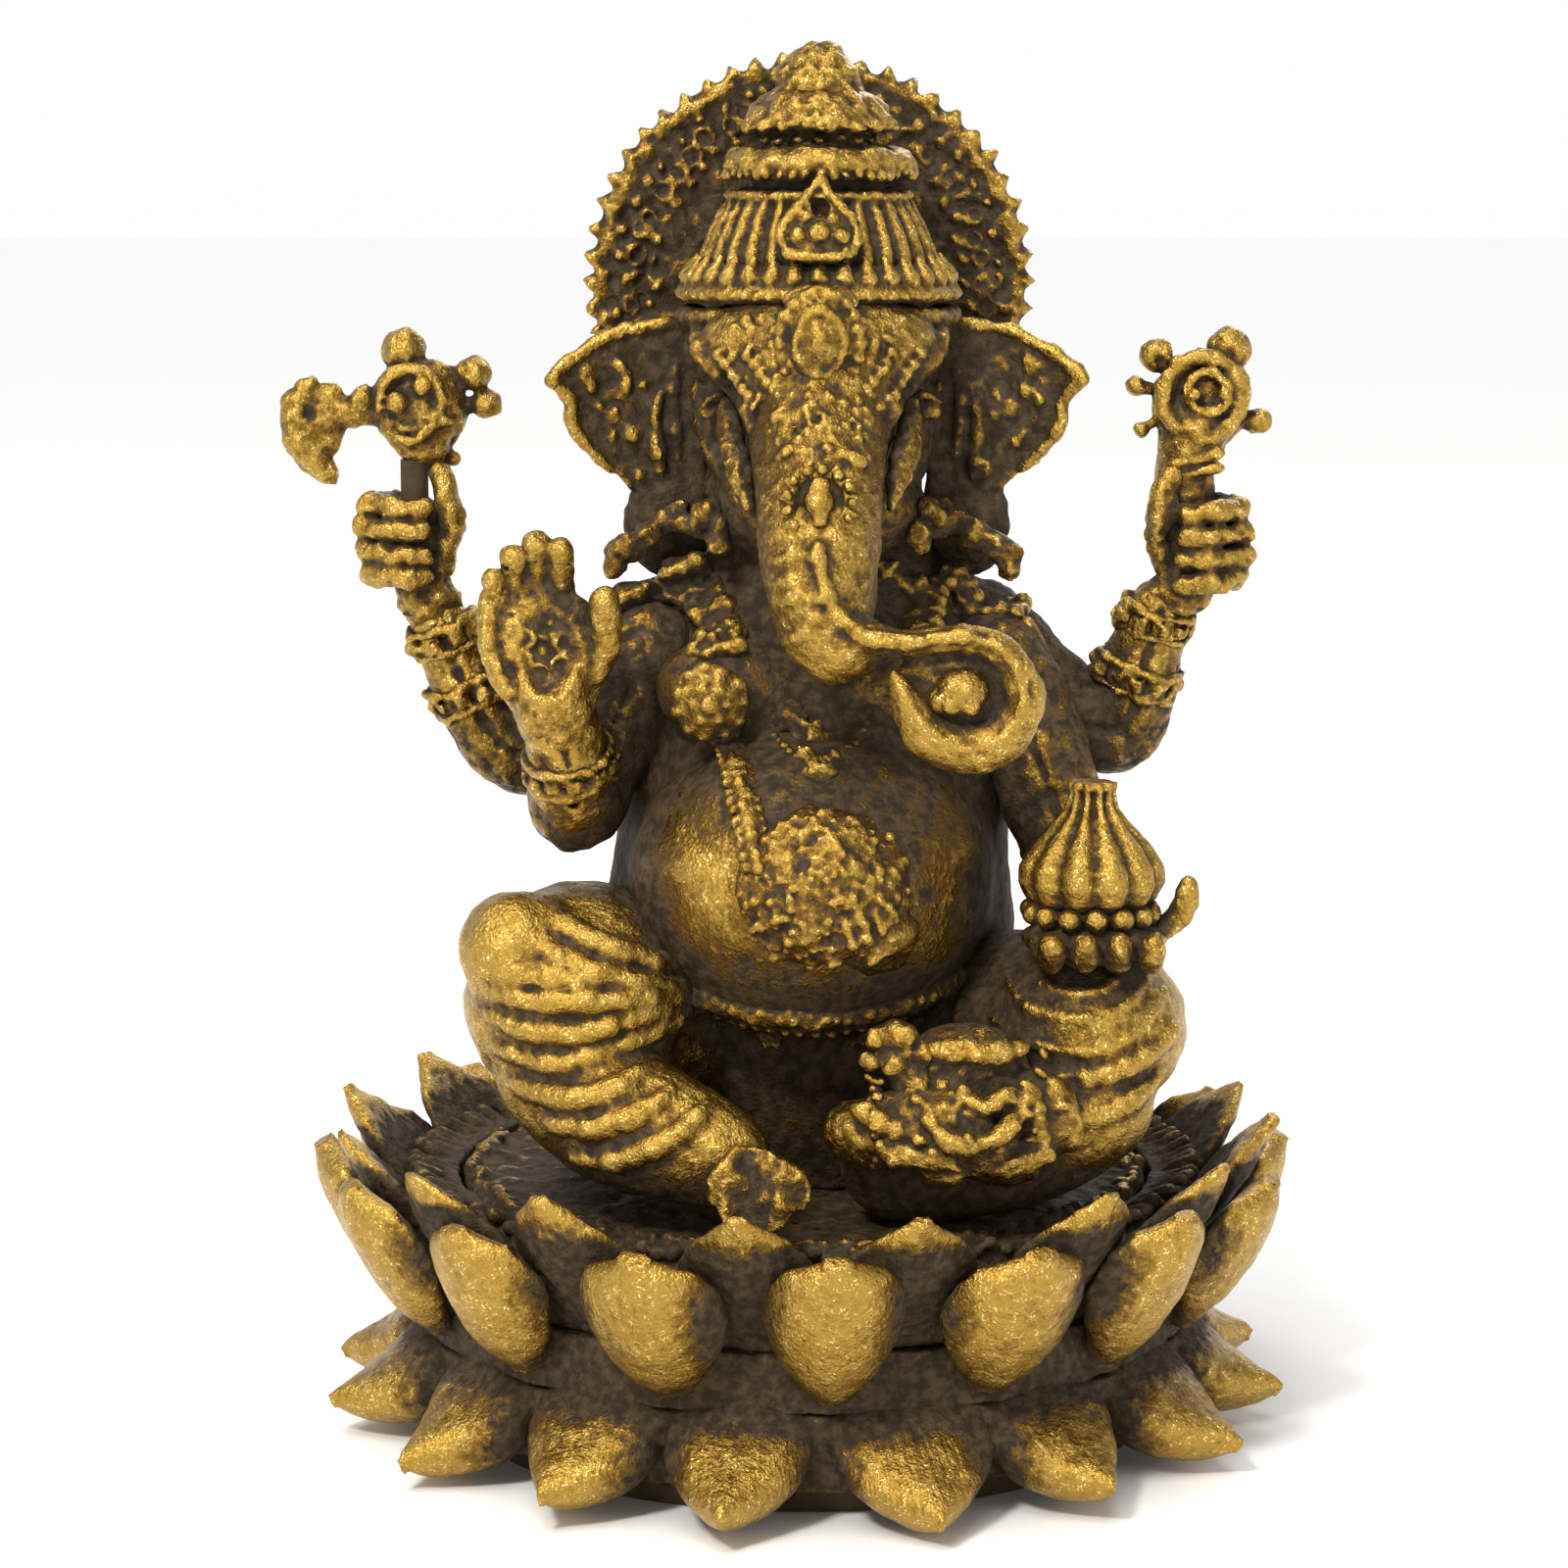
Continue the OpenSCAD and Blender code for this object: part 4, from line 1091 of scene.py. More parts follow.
def cloth_fan():
    """The spread end of the waist cloth, a bowed and rumpled leaf over the front of the seat."""
    clay = Clay("cloth_fan", (-1.75, -13.0, 11.02), step=0.09, spare=1.2)
    edge = ((-2.4, 12.9), (-1.3, 12.8), (-0.5, 12.3), (0.2, 11.6), (0.0, 10.8), (-0.7, 10.3),
            (-1.3, 9.9), (-1.9, 10.2), (-2.6, 10.4), (-3.3, 11.1), (-3.2, 12.0))
    clay.add(plate(edge, -12.9, 0.26, lambda x, z: 0.15 * np.cos(x * 3.4) + 0.3 * (z - 11.3)), 0.25)
    for lump in ((-2.5, -12.9, 11.6), (-1.2, -13.0, 11.0), (-0.6, -12.8, 11.9)):
        clay.add(blob(lump, (0.55, 0.35, 0.4)), 0.3)
    clay.roughen((0.6, 0.12), (0.26, 0.06), seed=87)
    cast(clay, RUBBED, -0.18)


# ---- Arms and hands ----

UPPER_RIGHT = ((-5.2, 0.8, 28.6, 2.2), (-8.0, 1.2, 26.0, 1.95), (-10.4, 0.8, 24.6, 1.6),
               (-12.0, 0.2, 26.6, 1.35), (-13.1, -0.2, 29.2, 1.05))
UPPER_LEFT = ((6.2, 0.8, 28.6, 2.2), (8.8, 1.2, 26.2, 1.95), (11.4, 0.8, 25.4, 1.6),
              (12.1, 0.2, 27.4, 1.35), (12.8, -0.2, 29.8, 1.05))
LOWER_RIGHT = ((-5.6, -1.2, 28.2, 2.05), (-7.4, -2.6, 25.0, 1.8), (-8.1, -3.9, 23.2, 1.6),
               (-8.2, -5.2, 24.6, 1.45), (-8.6, -6.0, 26.8, 1.15))
LOWER_LEFT = ((6.8, -1.2, 28.0, 1.95), (8.4, -2.0, 24.6, 1.8), (9.3, -2.8, 21.8, 1.6),
              (9.6, -5.0, 20.4, 1.35), (9.8, -7.0, 19.7, 1.2))


def arm(node, drawn_at, line, bias, seed, keep):
    """An arm with a fine crease down its front."""
    clay = Clay(node, drawn_at, spare=0.9)
    limb(clay, line, 0.3, 0.7)
    stations = smooth(line, 0.9)
    for a, b in zip(stations[1:-1], stations[2:]):
        clay.carve(rod(a[:3] + (0, -a[3] * 1.02, 0), b[:3] + (0, -b[3] * 1.02, 0), 0.10), 0.2)
    clay.roughen((0.7, 0.09), (0.3, 0.05), seed=seed)
    cast(clay, PATINA, bias, keep=keep)


def toward(middle, reach, amount):
    """A keep rule: brighter near a point."""
    def keep(points):
        return amount * glow(middle, (reach,) * 3, *points.T)
    return keep


ARMS = (
    ("upper_right_arm", (-9.05, 0.98, 26.93), UPPER_RIGHT, -0.34, ((-13, -1, 28.5), 2.2, 0.42)),
    ("upper_left_arm", (9.45, 0.98, 27.28), UPPER_LEFT, -0.36, ((13, -1, 28.5), 2.0, 0.3)),
    ("lower_right_arm", (-6.88, -3.14, 26.02), LOWER_RIGHT, -0.34, ((-8.6, -6, 25.6), 2.4, 0.45)),
    ("lower_left_arm", (8.12, -3.71, 24.25), LOWER_LEFT, -0.38, ((10.2, -3, 22.5), 1.6, 0.3)))


def arms():
    for seed, (node, drawn_at, line, bias, bright) in enumerate(ARMS, 91):
        arm(node, drawn_at, line, bias, seed, toward(*bright))


def fist(node, drawn_at, grip, wrist, outer, seed):
    """A hand closed round a handle: outer is -1 where the knuckles face the figure's right."""
    clay = Clay(node, drawn_at, step=0.09, spare=1.6)
    grip = np.array(grip, float)
    clay.add(blob(grip + (0, 0.1, 0.1), (1.15, 0.95, 1.7)), 0.2)
    limb(clay, ((*wrist, 1.0), (*(grip + (0, 0.1, -1.2)), 0.95)), 0.3)
    for k in range(4):
        z = grip[2] + 1.45 - 0.82 * k
        bulge = 1.0 + 0.25 * math.sin(math.pi * (k + 0.7) / 4.2)
        knuckle = grip + (outer * 1.35 * bulge, -0.3, z - grip[2])
        middle = grip + (outer * 0.55, -1.15, z - grip[2] - 0.1)
        tip = grip + (-outer * 0.35, -1.1, z - grip[2] - 0.15)
        root = grip + (outer * 0.7, 0.7, z - grip[2])
        cord(clay, smooth((root, knuckle, middle, tip), 0.4), 0.40, 0.07)
        clay.add(ball(knuckle, 0.52), 0.08)
    thumb = ((grip + (-outer * 0.9, -0.2, -0.9)), (grip + (-outer * 1.35, -0.6, 0.6)),
             (grip + (-outer * 1.2, -0.7, 1.9)), (grip + (-outer * 0.9, -0.5, 2.55)))
    cord(clay, smooth(thumb, 0.4), 0.45, 0.12)
    clay.roughen((0.6, 0.14), (0.24, 0.06), seed=seed)
    cast(clay, RUBBED, -0.04)


def blessing_hand():
    """Open palm facing forward, fingers up and a little cupped, with a flower mark."""
    clay = Clay("blessing_hand", (-8.86, -6.1, 29.69), step=0.08, spare=1.5)
    limb(clay, ((-8.55, -5.9, 26.2, 1.25), (-8.9, -6.0, 27.6, 1.5)), 0.3)
    clay.add(blob((-9.0, -6.0, 28.9), (2.2, 0.95, 2.3)), 0.3)
    clay.carve(blob((-8.9, -7.75, 29.4), (1.5, 1.25, 2.0)), 0.2)
    fingers = ((-10.6, 28.9, -10.75, 31.9, 0.46), (-9.95, 29.6, -10.1, 32.7, 0.48),
               (-9.2, 29.8, -9.3, 33.25, 0.50), (-8.5, 29.5, -8.45, 32.95, 0.48))
    clay.add(blob((-9.5, -5.9, 30.8), (1.5, 0.55, 1.6)), 0.2)
    for x0, z0, x1, z1, r in fingers:
        bent = ((x0, -5.85, z0), ((x0 + x1) / 2, -5.95, (z0 + z1) / 2), (x1, -6.45, z1 - r))
        cord(clay, smooth(bent, 0.4), r, 0.06)
        for share in (0.45, 0.75):
            at = np.array((x0 + (x1 - x0) * share, -6.55, z0 + (z1 - z0) * share))
            clay.carve(rod(at - (0.5, 0, 0), at + (0.5, 0, 0), 0.09), 0.08)
    cord(clay, smooth(((-7.7, -5.9, 27.6), (-6.95, -6.3, 29.2), (-6.95, -6.7, 30.7)), 0.4), 0.55, 0.1)
    heel = ((-10.9, -6.2, 30.9), (-11.0, -6.5, 29.2), (-10.3, -6.8, 27.6))
    cord(clay, smooth(heel, 0.4), 0.34, 0.15)
    mark = np.array((-9.1, -6.65, 29.0))
    for spot in circle(mark, 0.8, 6, axis=1, phase=0.4):
        met = clay.front(spot[0], spot[2])
        clay.add(hoop(met, 0.32, 0.12, axis=1), 0.03)
    clay.add(ball(clay.front(mark[0], mark[2]), 0.2), 0.03)
    for dx, dz in ((0.1, 1.4), (0.25, 1.0), (0.35, 0.6)):
        clay.add(ball(clay.front(mark[0] + dx, mark[2] + dz), 0.13), 0.05)
    clay.roughen((0.6, 0.09), (0.24, 0.04), seed=101)

    def dark_palm(points):
        x, y, z = points.T
        return np.where(y < -5.6, -0.4 * glow((-8.4, 30.2), (1.0, 1.3), x, z), 0)
    cast(clay, RUBBED, 0.10, keep=dark_palm)


def offering_hand():
    """A flat palm that carries the sweet, its fingertips curled up in front."""
    clay = Clay("offering_hand", (10.49, -8.66, 19.51), step=0.1, spare=1.6)
    clay.add(blob((10.0, -8.2, 19.2), (2.5, 2.0, 0.85)), 0.2)
    limb(clay, ((9.7, -6.2, 19.8, 1.1), (9.9, -7.4, 19.3, 1.0)), 0.3)
    for k in range(4):
        x = 8.3 + 1.15 * k
        bent = ((x, -8.6, 18.75), (x + 0.1, -10.0, 18.8), (x + 0.1, -10.5, 19.35))
        cord(clay, smooth(bent, 0.4), 0.46, 0.08)
    thumb = ((12.2, -8.0, 19.3), (13.0, -8.3, 20.1), (13.25, -8.4, 21.1))
    cord(clay, smooth(thumb, 0.4), 0.42, 0.1, 0.3)
    clay.roughen((0.5, 0.07), (0.24, 0.04), seed=105)

    def thumb_only(points):
        return np.where(points[:, 0] > 12.2, 0.0, -0.42)
    cast(clay, PATINA, 0.0, keep=thumb_only)


def arm_rings(node, drawn_at, places, seed):
    """Bracelets: a pair of hoops with a row of square beads between them."""
    clay = Clay(node, drawn_at, step=0.09, spare=1.4)
    for line, share, clear in places:
        stations = smooth(line, 0.3)
        i = min(int(share * len(stations)), len(stations) - 2)
        at, ahead = stations[i], stations[i + 1] - stations[i]
        tilt = Vector(ahead[:3]).to_track_quat("Z", "Y").to_euler()
        degrees = [math.degrees(a) for a in tilt]
        reach = at[3] + clear
        along = ahead[:3] / np.linalg.norm(ahead[:3])
        for offset in (-0.42, 0.42):
            clay.add(hoop(at[:3] + along * offset, reach, 0.2, tilt=degrees), 0.05)
        side = np.array(tilt.to_matrix())
        count = int(2 * math.pi * reach / 0.75)
        for k in range(count):
            angle = 2 * math.pi * k / count
            spot = at[:3] + reach * (math.cos(angle) * side[:, 0] + math.sin(angle) * side[:, 1])
            clay.add(block(spot, (0.27, 0.27, 0.25), 0.1, degrees), 0.05)
    clay.roughen((0.5, 0.14), (0.22, 0.06), seed=seed)
    cast(clay, RUBBED, -0.12)


def bracelets():
    arm_rings("right_arm_rings", (-10.36, -2.77, 26.48),
              ((UPPER_RIGHT, 0.93, 0.12), (UPPER_RIGHT, 0.78, 0.12), (LOWER_RIGHT, 0.80, 0.1)), 111)
    arm_rings("left_arm_rings", (12.13, 0.25, 27.94),
              ((UPPER_LEFT, 0.92, 0.12), (UPPER_LEFT, 0.76, 0.12)), 112)


# ---- What the hands hold ----

def axe_head():
    """A lumpy ritual axe: round body with knobs, and a crescent blade on a short neck."""
    clay = Clay("axe_head", (-14.67, -0.2, 36.83), step=0.08, spare=1.3)
    body = np.array((-13.8, -0.2, 37.1))
    clay.add(blob(body, (1.75, 1.2, 1.75)))
    clay.add(blob(body + (0.2, 0, -1.4), (0.95, 0.9, 1.0)), 0.25)
    places = ((-0.55, 2.0, 0.82), (1.95, 1.15, 0.66), (2.4, 0.1, 0.55), (1.2, -1.9, 0.3))
    knobs(clay, body, places, 0.16)
    clay.add(rod(body + (-1.4, 0, -0.1), body + (-2.6, 0, -0.2), 0.55), 0.2)
    clay.add(ball(body + (-2.05, -0.3, 0.25), 0.5), 0.1)
    edge = ((-17.6, 38.0), (-18.2, 37.2), (-18.1, 36.0), (-17.5, 35.0), (-16.9, 34.4))
    cord(clay, smooth([(x, -0.2, z) for x, z in edge]), 0.6, 0.15, 0.18)
    clay.add(blob((-17.3, -0.2, 36.5), (0.85, 0.5, 1.5), (0, 14, 0)), 0.25)
    clay.add(hoop(body + (-0.25, -1.0, 0.3), 1.05, 0.22, axis=1), 0.1)
    clay.add(ball(body + (-0.7, -1.15, 0.2), 0.42), 0.1)
    clay.add(ball(body + (0.2, -1.2, 0.8), 0.36), 0.1)
    lip = ((-14.9, -1.2, 36.3), (-14.0, -1.35, 35.9), (-13.2, -1.3, 36.5), (-12.6, -1.1, 36.6))
    cord(clay, smooth(lip), 0.2, 0.08, 0.1)
    clay.carve(ball(body + (-1.1, -1.3, -0.4), 0.42), 0.1)
    clay.roughen((0.5, 0.09), (0.22, 0.05), seed=121)
    cast(clay, RUBBED, 0.02)


def noose_head():
    """A looped noose: a ring with a coil inside, five knobs and a stem that narrows down."""
    clay = Clay("noose_head", (14, -0.2, 36.54), step=0.08, spare=1.3)
    middle = np.array((14.2, -0.2, 37.4))
    clay.add(blob(middle + (0, 0.1, -0.2), (1.7, 0.95, 1.8)))
    limb(clay, ((14.0, -0.1, 36.2, 1.25), (13.7, -0.1, 34.9, 1.0), (13.8, -0.1, 33.6, 1.0)), 0.2)
    clay.add(hoop(middle + (0, -0.75, 0.1), 1.4, 0.32, axis=1), 0.1)
    clay.add(hoop(middle + (0.2, -0.95, 0.25), 0.7, 0.2, axis=1), 0.08)
    clay.add(ball(middle + (-0.3, -1.15, 0.2), 0.26), 0.06)
    clay.add(ball(middle + (0.75, -1.1, 0.15), 0.24), 0.06)
    places = ((1.0, 1.75, 0.78), (-1.6, 1.5, 0.62), (-2.35, 0.45, 0.38), (2.05, -0.85, 0.5),
              (-2.1, -1.15, 0.25))
    knobs(clay, middle, places, 0.15)
    clay.carve(ball(middle + (-1.45, -0.75, 1.3), 0.3), 0.1)
    for dz in (-2.3, -2.8):
        clay.add(rod(middle + (-0.9, -0.8, dz), middle + (0.6, -0.9, dz + 0.35), 0.22), 0.08)
    clay.roughen((0.5, 0.09), (0.22, 0.05), seed=122)
    cast(clay, RUBBED, 0.04)


def sweet():
    """A pleated dumpling with a pinched neck and a flat cap."""
    clay = Clay("sweet", (9.9, -7.9, 22.55), step=0.08, spare=0.8)
    at = (9.9, -7.9, 0)
    outline = ((20.3, 1.7), (20.6, 2.15), (21.2, 2.42), (21.8, 2.36), (22.5, 1.9), (23.1, 1.3),
               (23.7, 0.82), (24.3, 0.66), (24.45, 0.74), (24.65, 0.72))
    clay.add(lathe(at, outline, flutes=11, depth=0.16, sharp=0.55), 0.05)
    clay.add(hoop((9.9, -7.9, 24.5), 0.6, 0.16), 0.08)
    clay.roughen((0.5, 0.03), (0.2, 0.02), seed=131)
    cast(clay, RUBBED, 0.14)


def sweet_beads():
    clay = Clay("sweet_beads", (9.9, -7.9, 19.95), step=0.08, spare=0.9)
    clay.add(lathe((9.9, -7.9, 0), ((19.6, 1.8), (20.3, 1.9))), 0.1)
    studs(clay, circle((9.9, -7.9, 20.1), 2.05, 14, axis=2, phase=0.25), 0.42, 0.04)
    clay.roughen((0.4, 0.03), seed=132)
    cast(clay, RUBBED, 0.0)


# ---- Ornaments on the body ----

def necklace():
    on = CLAYS["torso"]
    clay = Clay("necklace", (0.51, -3.96, 27.14), step=0.09, spare=2.4)
    upper = on.drape(((-4.4, 29.4), (-2.8, 27.5), (0.4, 26.3), (3.6, 27.5), (5.3, 29.4)), 0.08)
    beads(clay, upper, 0.27, 0.55)
    lower = on.drape(((-3.6, 28.0), (-1.8, 26.4), (0.3, 25.2), (2.6, 26.2), (4.6, 27.9)), 0.10)
    beads(clay, lower, 0.2, 0.42)
    pendants = ((-0.6, 26.5, 0.7), (0.2, 25.9, 0.75), (0.5, 24.9, 0.6), (2.1, 26.0, 0.5),
                (-0.1, 25.4, 0.5))
    for x, z, r in pendants:
        floret(clay, on.front(x, z), r)
        clay.add(ball(on.front(x, z), r * 0.7), 0.1)
    clay.roughen((0.5, 0.14), (0.24, 0.07), seed=141)

    def middle(points):
        return 0.72 * glow((0.5, 25.8), (1.9, 1.7), points[:, 0], points[:, 2])
    cast(clay, RUBBED, -0.76, keep=middle)


def sash_tassel():
    """A round lumpy tassel on the chest, with a beaded strap down to the belly plate."""
    on = CLAYS["torso"]
    clay = Clay("sash_tassel", (-2.62, -8.35, 25.16), step=0.09, spare=2.2)
    at = on.front(-3.3, 27.2) + (0, -0.3, 0)
    clay.add(blob(at, (1.35, 0.85, 1.35)))
    for ahead, reach, count in ((0.55, 0.55, 6), (0.2, 1.1, 11)):
        studs(clay, circle(at - (0, ahead, 0), reach, count), 0.3, 0.06)
    clay.add(ball(at + (0, -0.75, 0), 0.36), 0.06)
    strap = on.drape(((-2.8, 26.0), (-2.4, 25.0), (-2.1, 24.0), (-1.8, 22.9), (-1.6, 22.0)), -0.1)
    cord(clay, strap, 0.42, 0.1)
    for offset in (-0.42, 0.42):
        beads(clay, [p + (offset, -0.15, 0) for p in strap], 0.22, 0.42)
    beads(clay, [p + (0, -0.35, 0) for p in strap], 0.26, 0.6)
    clay.roughen((0.35, 0.08), seed=142)
    cast(clay, RUBBED, -0.06)


def shoulder_garlands():
    """Flower strings over both shoulders and locks beside the ears."""
    on = CLAYS["torso"]
    clay = Clay("shoulder_garlands", (0.5, -2.6, 29.62), step=0.1, spare=2.6)
    spots = ((-6.3, 30.0, 0.7), (-5.9, 28.6, 0.75), (-4.5, 30.9, 0.7), (-3.7, 30.2, 0.6), (-4.8, 29.3, 0.6),
             (-3.4, 28.9, 0.6), (2.9, 31.2, 0.55), (3.8, 30.5, 0.7), (5.3, 30.8, 0.65), (5.9, 29.8, 0.7),
             (7.3, 29.3, 0.7), (7.8, 28.6, 0.6), (6.6, 28.9, 0.55))
    for x, z, r in spots:
        met = on.front(x, z)
        met[1] = min(met[1], -1.5)
        floret(clay, met, r * 1.25)
        clay.add(blob(met + (0, 0.7, 0), (r, 1.0, r)), 0.2)
    for line in (((-6.4, 30.4), (-5.6, 29.2), (-4.9, 27.6)), ((7.4, 29.8), (6.6, 28.8), (6.2, 27.6)),
                 ((-4.4, 31.4), (-3.4, 30.3), (-2.9, 28.9)), ((5.2, 31.3), (4.3, 30.3), (3.9, 29.0))):
        path = on.drape(line, -0.1)
        beads(clay, path, 0.42, 0.62, 0.15)
        for side in (0.5, -0.5):
            beads(clay, [at + (side, -0.05, 0.4 * side) for at in path], 0.36, 0.5, 0.15)
    clay.roughen((0.5, 0.16), (0.24, 0.07), seed=143)
    cast(clay, RUBBED, -0.14)


# ---- Head ----

EYE_RIM = ((4.3, 40.3), (4.2, 39.3), (3.5, 38.6), (2.7, 37.6), (2.2, 36.7), (2.1, 35.6))
CHEEK = ((4.3, 38.0), (4.15, 36.6), (3.5, 35.2), (2.8, 34.0))


def head():
    """Brow, cheeks and temples; a raised rim runs round the dark eye hollows."""
    clay = Clay("head", (0.5, -0.96, 36.38), step=0.1, spare=1.0)
    clay.add(blob((HEAD_X, -0.4, 36.6), (4.3, 4.2, 4.3)))
    clay.add(blob((HEAD_X, -0.6, 39.6), (4.75, 4.5, 1.6)), 0.5)
    clay.add(blob((HEAD_X, -2.0, 33.6), (3.9, 3.0, 2.0)), 0.5)
    clay.add(blob((HEAD_X, -3.7, 39.3), (4.3, 2.4, 2.1)), 0.4)
    clay.add(blob((HEAD_X, -4.9, 37.6), (2.9, 2.0, 3.0)), 0.5)
    for side, eye_x in ((-1, -3.0), (1, 4.1)):
        clay.carve(blob((eye_x, -5.3, 37.2), (1.0, 2.0, 1.55), (0, side * 14, 0)), 0.25)
        clay.add(blob((eye_x + side * 0.15, -3.1, 37.2), (0.62, 0.45, 0.42), (0, side * 18, 0)), 0.08)
        lid = ((eye_x - 0.6, -3.5, 37.3), (eye_x, -3.75, 37.75), (eye_x + 0.7, -3.2, 37.4))
        cord(clay, smooth(lid), 0.14, 0.08, 0.08)
        rim = [(HEAD_X + side * x, z) for x, z in EYE_RIM]
        cord(clay, clay.drape(rim, -0.02), 0.32, 0.15, 0.2)
        cheek = [(HEAD_X + side * x, z) for x, z in CHEEK]
        cord(clay, clay.drape(cheek, 0.05), 0.3, 0.2, 0.15)
    band = [(HEAD_X + 4.75 * math.sin(a), -0.4 - 4.75 * math.cos(a), 40.35)
            for a in np.linspace(-2.0, 2.0, 40)]
    cord(clay, band, 0.34, 0.1)
    beads(clay, [(x, y - 0.1, z - 0.55) for x, y, z in band[8:32]], 0.2, 0.4)
    for k in range(9):
        x = HEAD_X + 1.02 * (k - 4)
        lock = ((x * 0.9, 40.2), (x, 37.4), (x * 0.95 + 0.2, 34.6), (x * 0.8, 32.6))
        cord(clay, clay.drape_behind(lock, 0.1), 0.5, 0.15, 0.25)
    net = (((-3.0, 39.2), (-2.0, 37.9), (-0.8, 36.9), (0.5, 36.3), (1.8, 36.9), (3.0, 37.9), (4.0, 39.2)),
           ((-2.0, 39.2), (-1.2, 38.2), (-0.3, 37.4), (0.5, 37.0), (1.3, 37.4), (2.2, 38.2), (3.0, 39.2)))
    for line in net:
        beads(clay, clay.drape(line, -0.06), 0.23, 0.42)
    draw = np.random.default_rng(150)
    for _ in range(150):
        x, z = draw.uniform(-3.0, 3.0), draw.uniform(-2.4, 2.2)
        if abs(x) < 1.3 + 0.75 * (z + 2.4):
            clay.add(ball(clay.front(HEAD_X + x, 38.2 + z), draw.uniform(0.14, 0.24)), 0.05)
    clay.roughen((0.45, 0.05), (0.22, 0.03), seed=151)

    def mask(points):
        x, y, z = points.T
        wide = 1.9 + np.clip(z - 36.6, 0, 3.2) * 0.75
        inside = 1 / (1 + np.exp((np.abs(x - HEAD_X) - wide) * 5))
        return np.where(y < -2, -0.40 + 0.48 * inside, -0.35)
    cast(clay, RUBBED, 0.0, keep=mask)


TRUNK = (
    (0.5, -3.6, 38.8, 2.7), (0.5, -5.1, 36.9, 2.35), (0.5, -6.9, 35.0, 2.15), (0.5, -8.4, 32.7, 1.95),
    (0.6, -9.3, 30.8, 1.65), (1.1, -9.9, 29.6, 1.25), (2.3, -10.5, 29.7, 0.7))
CURL = (
    (1.9, -10.9, 30.0, 0.55), (3.4, -11.1, 29.75, 0.46), (5.2, -11.2, 30.0, 0.46),
    (6.7, -11.1, 29.4, 0.56), (7.35, -11.0, 27.9, 0.68), (6.7, -11.0, 26.6, 0.78),
    (5.3, -11.0, 26.2, 0.86), (4.0, -11.1, 26.9, 0.76), (3.35, -11.3, 28.0, 0.50),
    (2.95, -11.4, 28.9, 0.16))


def trunk():
    """Straight down from the brow, then across to the left and into a curl."""
    clay = Clay("trunk", (2.92, -7.24, 32.69), step=0.1, spare=1.2)
    limb(clay, TRUNK, 0.3, 0.6)
    limb(clay, CURL, 0.12, 0.35)
    clay.add(blob((5.2, -10.7, 28.1), (2.2, 0.55, 1.9)), 0.2)
    clay.add(blob((0.0, -9.3, 30.6), (0.75, 1.2, 1.3), (0, 25, 0)), 0.3)
    spine = ((0.45, 33.0), (0.5, 32.2), (0.9, 31.1), (1.5, 30.4), (2.4, 29.95), (3.85, 29.9))
    middle = clay.drape(spine, -0.12)
    cord(clay, middle, 0.26, 0.10)
    beads(clay, middle, 0.27, 0.42)
    ridge = smooth([(x, y - r * 0.85, z + 0.12) for x, y, z, r in CURL[1:9]], 0.2)
    cord(clay, ridge, 0.20, 0.10)
    beads(clay, ridge[:len(ridge) * 5 // 8], 0.23, 0.4)
    for k in range(6):
        z = 32.9 - 0.66 * k
        wide = 1.7 - 0.10 * k
        fold = ((HEAD_X - wide, z - 0.6), (HEAD_X - wide * 0.4, z - 0.2), (HEAD_X + 0.1 + 0.1 * k, z - 0.3))
        cord(clay, clay.drape(fold, 0.1), 0.2, 0.12, 0.1)
    draw = np.random.default_rng(160)
    for _ in range(70):
        x, z = draw.uniform(-1.7, 1.7), draw.uniform(35.6, 38.0)
        clay.add(ball(clay.front(HEAD_X + x, z), draw.uniform(0.13, 0.23)), 0.05)
    clay.roughen((0.7, 0.09), (0.26, 0.045), seed=161)

    def bridge(points):
        x, y, z = points.T
        return np.where(x < 3.2, -0.30 * rise(np.abs(x - HEAD_X), 1.3, 1.2), 0.0)
    cast(clay, RUBBED, 0.08, keep=bridge)


def trunk_sweet():
    clay = Clay("trunk_sweet", (5.1, -10.9, 27.9), step=0.07, spare=0.8)
    clay.add(blob((5.25, -11.1, 28.2), (0.95, 0.9, 0.85)))
    clay.add(blob((4.6, -11.2, 27.9), (0.6, 0.6, 0.5)), 0.15)
    for dx, dz in ((-0.2, 0.25), (0.35, 0.1), (-0.3, -0.35), (0.4, -0.35)):
        clay.add(ball((5.15 + dx, -11.65, 28.1 + dz), 0.32), 0.08)
    clay.roughen((0.35, 0.04), (0.18, 0.02), seed=165)
    cast(clay, RUBBED, 0.16)


def tusk(node, drawn_at, side):
    clay = Clay(node, drawn_at, step=0.08, spare=1.0)
    x = HEAD_X + side * 2.75
    line = ((x + side * 0.45, -4.3, 37.3, 0.34), (x + side * 0.25, -5.4, 36.0, 0.46),
            (x - side * 0.05, -6.3, 35.0, 0.40), (x - side * 0.3, -6.9, 34.0, 0.16))
    limb(clay, line, 0.1, 0.3)
    clay.roughen((0.4, 0.08), (0.2, 0.05), seed=173 + side)
    cast(clay, RUBBED, -0.20)


EAR = (
    (0.0, 40.1), (1.4, 40.0), (3.0, 39.6), (4.8, 38.45), (5.0, 38.1), (4.3, 37.4), (4.25, 36.6),
    (3.8, 35.8), (2.9, 34.9), (2.1, 34.1), (1.9, 33.1), (1.2, 31.9), (0.2, 31.6), (-0.4, 33.0),
    (-0.6, 38.0))


